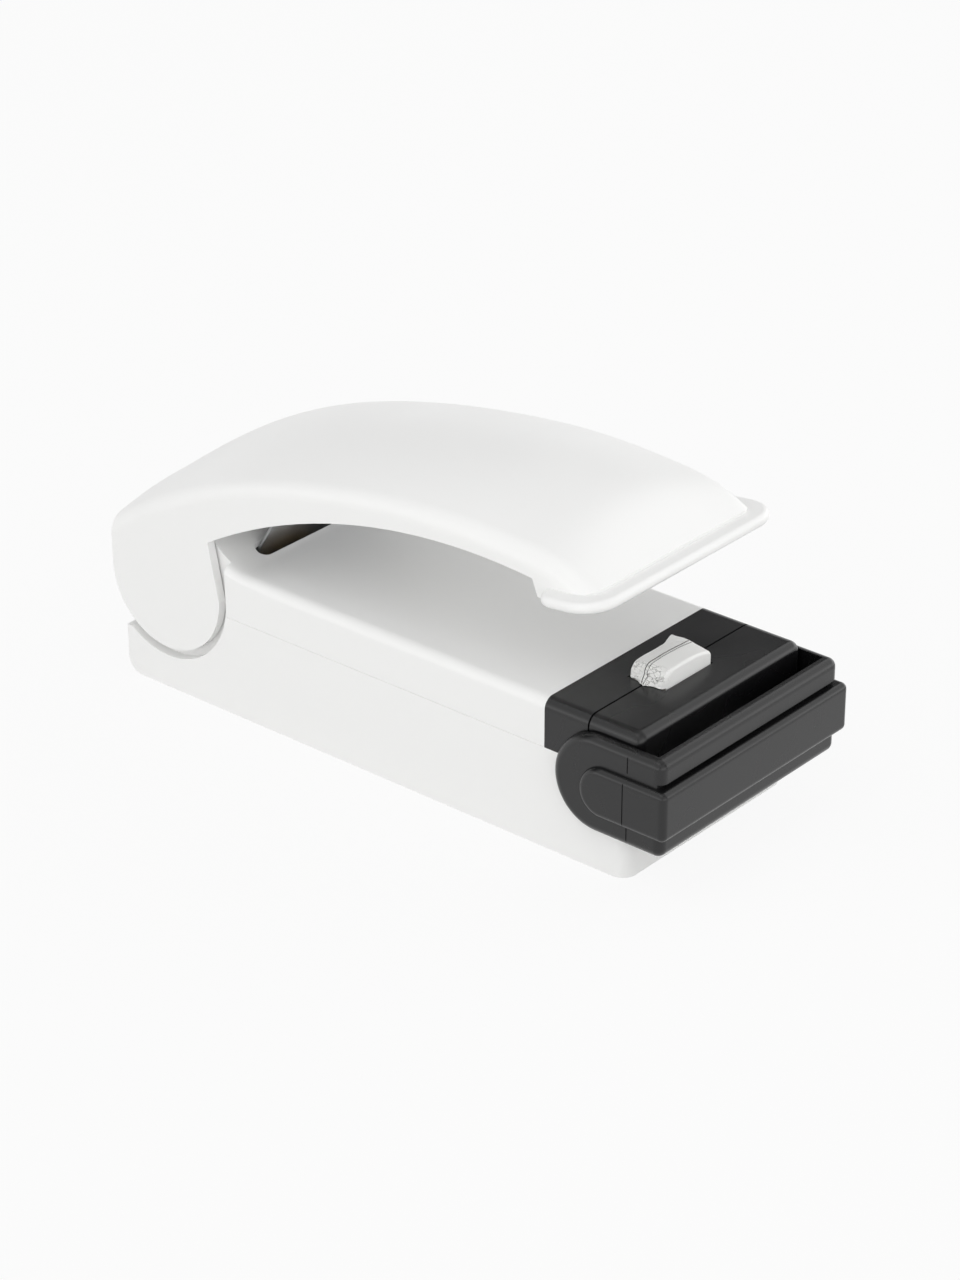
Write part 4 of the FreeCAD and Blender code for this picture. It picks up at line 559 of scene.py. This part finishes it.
def make_cloth():
    """The wrapped cloth as one sheet: a top and four sides, open at the foot."""
    xs = places(CLOTH_REAR, CLOTH_FRONT, GRID_STEP)
    ys = places(CLOTH_NEAR, CLOTH_FAR, GRID_STEP)
    zs = places(CLOTH_FOOT, SHOWN_FROM, HIDDEN_STEP)[:-1]
    zs += places(SHOWN_FROM, SHOWN_TO, SHOWN_STEP)
    zs.append(ABOVE_CLOTH)
    top = len(zs) - 1
    hem = next(n for n, z in enumerate(zs) if z > HEM_HEIGHT)
    shape = bmesh.new()
    # Each point keeps its share of painted shade for the cloth's creases.
    crease_shade_layer = shape.verts.layers.float.new(CREASE_SHADE_LAYER)
    made = {}

    def vertex(i, j, k):
        key = (i, j, k)
        if key not in made:
            spot, crease_shade = cloth_point(xs[i], ys[j], zs[k])
            made[key] = shape.verts.new(spot * MM)
            made[key][crease_shade_layer] = crease_shade
        return made[key]

    def face(*corners):
        shape.faces.new([vertex(*corner) for corner in corners])

    last_x = len(xs) - 1
    last_y = len(ys) - 1
    for i in range(last_x):
        for j in range(last_y):
            face((i, j, top), (i + 1, j, top), (i + 1, j + 1, top), (i, j + 1, top))
        for k in range(top):
            if k >= hem:
                face((i, 0, k), (i + 1, 0, k), (i + 1, 0, k + 1), (i, 0, k + 1))
            face((i, last_y, k), (i, last_y, k + 1), (i + 1, last_y, k + 1), (i + 1, last_y, k))
    for j in range(last_y):
        for k in range(top):
            face((0, j, k), (0, j, k + 1), (0, j + 1, k + 1), (0, j + 1, k))
            face((last_x, j, k), (last_x, j + 1, k), (last_x, j + 1, k + 1), (last_x, j, k + 1))
    mesh = to_mesh("release_cloth_wrap", shape)
    piece = finish_piece("release_cloth_wrap", mesh, "case", "release_cloth", "release_cloth")


def wire_line(number, x):
    """A wire's way over the cloth: along its top from the far end, then down its near end."""
    line = []
    for y in places(CLOTH_NEAR, CLOTH_FAR - WIRE_SHORT_OF_FAR, WIRE_STEP)[::-1]:
        stray = STRAY_ON_TOP * math.sin(y * STRAY_ON_TOP_RATE + number)
        spot, _ = cloth_point(x + stray, y, ABOVE_CLOTH)
        line.append(spot)
    for z in places(COVER_TOP + WIRE_ABOVE_COVER, WIRE_TURN_HEIGHT, WIRE_STEP)[::-1]:
        stray = STRAY_DOWN_END * math.sin(z * STRAY_DOWN_END_RATE + number)
        spot, _ = cloth_point(x + WIRE_DRIFT * (WIRE_TURN_HEIGHT - z) / 2 + stray, CLOTH_NEAR, z)
        line.append(spot)
    return line


def make_wires():
    """Two fine dark wires that show along the cloth's top and down its near end."""
    shape = bmesh.new()
    for number, (x, radius, depth, change) in enumerate(WIRES):
        line = wire_line(number, x)
        raised = []
        for place, spot in enumerate(line):
            dip = radius * (depth + change * math.sin(place * 1.9 + number))
            out = Vector((0, 0, 1)) if place < len(line) - POINTS_DOWN_END else Vector((0, -1, 0.2))
            raised.append((spot + out * (0.6 * radius - dip)) * MM)
        tube(shape, raised, radius * MM)
    mesh = to_mesh("heating_wire_lines", shape)
    finish_piece("heating_wire_lines", mesh, "case", "heating_wire", "heating_wires")


# ---------------------------------------------------------------- leaf spring

# Millimetres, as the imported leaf: a flat foot, a straight leaf at 60 degrees, a curled end.
LEAF_FOOT_REAR = -44.38
LEAF_HEEL = -38.38
LEAF_LOW = 17.2
LEAF_THICK = 0.5
LEAF_HALF_WIDTH = 11.0
LEAF_SLOPE = math.radians(60)

# The bend between foot and leaf, the curled end and the corners of the free end.
BEND_SETBACK = 1.2
BEND_START = LEAF_HEEL - BEND_SETBACK
BEND_RADIUS = BEND_SETBACK * 1.7
CURL_MIDDLE_X = -19.75
CURL_MIDDLE_Z = 41.47
CURL_RADIUS = 4.0
FREE_CORNER = 1.6
CORNER_ROWS = 5
SHEARED_EDGE = 0.08

# Rows of points along each part of the leaf, and columns on each side of its middle.
FOOT_STEPS = 6
BEND_STEPS = 7
LEAF_STEPS = 20
CURL_STEPS = 18
HALF_COLUMNS = 12


def leaf_line():
    """The leaf's middle line in its own plane, from its foot to its curled end."""
    half = LEAF_THICK / 2
    line = []
    for n in range(FOOT_STEPS + 1):
        line.append((LEAF_FOOT_REAR + (BEND_START - LEAF_FOOT_REAR) * n / FOOT_STEPS, LEAF_LOW + half))
    for n in range(1, BEND_STEPS + 1):
        turn = LEAF_SLOPE * n / BEND_STEPS
        rise = BEND_RADIUS * (1 - math.cos(turn))
        line.append((BEND_START + BEND_RADIUS * math.sin(turn), LEAF_LOW + half + rise))
    start_x, start_z = line[-1]
    radius = CURL_RADIUS - half
    join_x = CURL_MIDDLE_X - radius * math.sin(LEAF_SLOPE)
    join_z = CURL_MIDDLE_Z + radius * math.cos(LEAF_SLOPE)
    for n in range(1, LEAF_STEPS + 1):
        x = start_x + (join_x - start_x) * n / LEAF_STEPS
        z = start_z + (join_z - start_z) * n / LEAF_STEPS
        line.append((x, z))
    for n in range(1, CURL_STEPS + 1):
        turn = -LEAF_SLOPE + 2 * LEAF_SLOPE * n / CURL_STEPS
        line.append((CURL_MIDDLE_X + radius * math.sin(turn), CURL_MIDDLE_Z + radius * math.cos(turn)))
    return line


def make_leaf():
    """Sheared spring leaf with rounded corners at its free end."""
    line = leaf_line()
    shape = bmesh.new()
    columns = [LEAF_HALF_WIDTH * n / HALF_COLUMNS for n in range(-HALF_COLUMNS, HALF_COLUMNS + 1)]
    grid = []
    total = len(line) - 1
    for number, (x, z) in enumerate(line):
        near_end = max(number - (total - CORNER_ROWS), 0) / CORNER_ROWS
        half = LEAF_HALF_WIDTH - FREE_CORNER * (1 - math.sqrt(max(1 - near_end**2, 0.0)))
        grid.append([shape.verts.new(Vector((x, y * half / LEAF_HALF_WIDTH, z)) * MM) for y in columns])
    for one, two in zip(grid, grid[1:]):
        for n in range(len(columns) - 1):
            shape.faces.new((one[n], one[n + 1], two[n + 1], two[n]))
    sheet = bpy.data.objects.new("leaf_spring_strip", to_mesh("leaf_spring_strip", shape))
    scene.collection.objects.link(sheet)
    solid = sheet.modifiers.new("thickness", "SOLIDIFY")
    solid.thickness = LEAF_THICK * MM
    solid.offset = 0.0
    edge = sheet.modifiers.new("sheared_edge", "BEVEL")
    edge.width = SHEARED_EDGE * MM
    edge.segments = 2
    bpy.context.view_layer.update()
    seen = sheet.evaluated_get(bpy.context.evaluated_depsgraph_get())
    mesh = bpy.data.meshes.new_from_object(seen)
    bpy.data.objects.remove(sheet)
    piece = finish_piece("leaf_spring_strip", mesh, "case", "spring_steel", "leaf_spring")
    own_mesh(piece)


# ---------------------------------------------------------------- lid

# Millimetres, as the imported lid: flat top, start and crest of its sweep, round recess for a cheek.
LID_TOP = 25.4
SOLID_SWEEP_START = -20.1
CREST_FRONT = -37.1
CREST_HEIGHT = 30.1
HINGE_X = -45.9
HINGE_Z = 19.2
RECESS_RADIUS = 13.4

# Where the shorter sweep starts, and what stays as it is packed.
SWEEP_START = -28.9
KEPT_BELOW = 22.0
CUT_STEP = 0.4
WELD = 0.002
SHARP_ANGLE = 32


def sweep_rise(x, start):
    """Rise of a hollow arc that leaves the flat top at start and ends at the crest."""
    run = start - CREST_FRONT
    rise = CREST_HEIGHT - LID_TOP
    radius = (run * run + rise * rise) / (2 * rise)
    back = min(max(start - x, 0.0), run)
    return radius - math.sqrt(radius * radius - back * back)


def make_lid():
    """The lid with a shorter sweep than its solid: the flat top runs on as far as the cheeks."""
    shape = bmesh.new()
    shape.from_mesh(NODES["upper_housing"].data)
    bmesh.ops.remove_doubles(shape, verts=shape.verts, dist=WELD * MM)
    for x in places(CREST_FRONT, SOLID_SWEEP_START, CUT_STEP)[1:-1]:
        everything = shape.verts[:] + shape.edges[:] + shape.faces[:]
        bmesh.ops.bisect_plane(shape, geom=everything, plane_co=(x * MM, 0, 0), plane_no=(1, 0, 0))
    for vertex in shape.verts:
        x = vertex.co.x / MM
        z = vertex.co.z / MM
        kept = KEPT_BELOW
        if abs(x - HINGE_X) < RECESS_RADIUS:
            kept = max(kept, HINGE_Z + math.sqrt(RECESS_RADIUS**2 - (x - HINGE_X) ** 2))
        if CREST_FRONT < x < SOLID_SWEEP_START and z > kept:
            solid = LID_TOP + sweep_rise(x, SOLID_SWEEP_START)
            wanted = LID_TOP + sweep_rise(x, SWEEP_START)
            vertex.co.z = (kept + (z - kept) * (wanted - kept) / (solid - kept)) * MM
    mesh = to_mesh("upper_housing_lid", shape)
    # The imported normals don't fit the moved points.
    if "custom_normal" in mesh.attributes:
        mesh.attributes.remove(mesh.attributes["custom_normal"])
    piece = finish_piece("upper_housing_lid", mesh, "case", "white_abs", "upper_housing")
    mesh.set_sharp_from_angle(angle=math.radians(SHARP_ANGLE))
    weighted = piece.modifiers.new("weighted_normals", "WEIGHTED_NORMAL")
    weighted.keep_sharp = True


make_cloth()
make_wires()
make_leaf()
make_lid()


# ---------------------------------------------------------------- studio

# What surrounds the object: white up to a quarter of the height, then a dim ceiling.
CEILING = ((0.0, 1.0), (0.25, 1.0), (0.38, 0.3), (0.46, 0.12), (0.9, 0.12))

# Half the side of the square floor, and how much of its look is plain white.
FLOOR_HALF_M = 12.0
FLOOR_GLOW_SHARE = 0.9

LAMP_TARGET = Vector((0, 0, 25 * MM))
LAMPS = (
    # name, place in metres, side of the square in metres, watts
    ("near_softbox", (-0.20, -0.98, 0.80), 2.0, 11.0),
    ("head_softbox", (1.00, -0.25, 0.50), 1.3, 4.6),
    ("far_softbox", (0.35, 1.05, 0.50), 1.5, 8.0),
    ("top_softbox", (-0.10, 0.10, 1.5), 1.8, 6.8),
)


def plain_white_for_sight(tree):
    """1 for rays that see the background directly or in a reflection, 0 for rays that only gather light."""
    rays = add(tree, "ShaderNodeLightPath").outputs
    seen = rays["Is Camera Ray"]
    for kind in ("Is Glossy Ray", "Is Transmission Ray"):
        seen = add(tree, "ShaderNodeMath", {0: seen, 1: rays[kind]}, operation="MAXIMUM").outputs[0]
    return seen


def make_world():
    """Surroundings, the same for sight, light and gloss: a white horizon under a dim ceiling."""
    world = bpy.data.worlds.new("studio_surroundings")
    scene.world = world
    world.use_nodes = True
    tree = world.node_tree
    tree.nodes.clear()
    direction = add(tree, "ShaderNodeTexCoord").outputs["Generated"]
    height = add(tree, "ShaderNodeSeparateXYZ", {"Vector": direction}).outputs["Z"]
    ramp = add(tree, "ShaderNodeValToRGB", {"Fac": height})
    marks = ramp.color_ramp.elements
    while len(marks) < len(CEILING):
        marks.new(0.5)
    for mark, (place, level) in zip(marks, CEILING):
        mark.position = place
        mark.color = (level, level, level, 1.0)
    light = add(tree, "ShaderNodeBackground", {"Color": ramp.outputs["Color"]}, Strength=1.0)
    add(tree, "ShaderNodeOutputWorld", {"Surface": light.outputs[0]})


def make_floor():
    """Pale paper that shows white and keeps a soft shadow."""
    half = FLOOR_HALF_M
    corners = [(-half, -half, 0), (half, -half, 0), (half, half, 0), (-half, half, 0)]
    mesh = bpy.data.meshes.new("floor")
    mesh.from_pydata(corners, [], [(0, 1, 2, 3)])
    floor = bpy.data.objects.new("floor", mesh)
    scene.collection.objects.link(floor)
    paper = bpy.data.materials.new("pale_paper_floor")
    paper.use_nodes = True
    tree = paper.node_tree
    tree.nodes.clear()
    share = add(tree, "ShaderNodeMath", {0: plain_white_for_sight(tree)}, operation="MULTIPLY")
    share.inputs[1].default_value = FLOOR_GLOW_SHARE
    lit = add(tree, "ShaderNodeBsdfDiffuse", Color=linear("#DCDCDB"))
    glow = add(tree, "ShaderNodeEmission", Color=linear("#FFFFFF"), Strength=1.0)
    mixed = add(tree, "ShaderNodeMixShader", {0: share.outputs[0], 1: lit.outputs[0], 2: glow.outputs[0]})
    add(tree, "ShaderNodeOutputMaterial", {"Surface": mixed.outputs[0]})
    mesh.materials.append(paper)


def make_lamps():
    """Soft square lamps turned to the middle of the object."""
    for name, where, side, power in LAMPS:
        data = bpy.data.lights.new(name, "AREA")
        data.shape = "SQUARE"
        data.size = side
        data.energy = power
        lamp = bpy.data.objects.new(name, data)
        lamp.location = where
        lamp.rotation_mode = "QUATERNION"
        lamp.rotation_quaternion = (LAMP_TARGET - Vector(where)).to_track_quat("-Z", "Y")
        scene.collection.objects.link(lamp)


make_world()
make_floor()
make_lamps()
scene.view_settings.view_transform = "Standard"
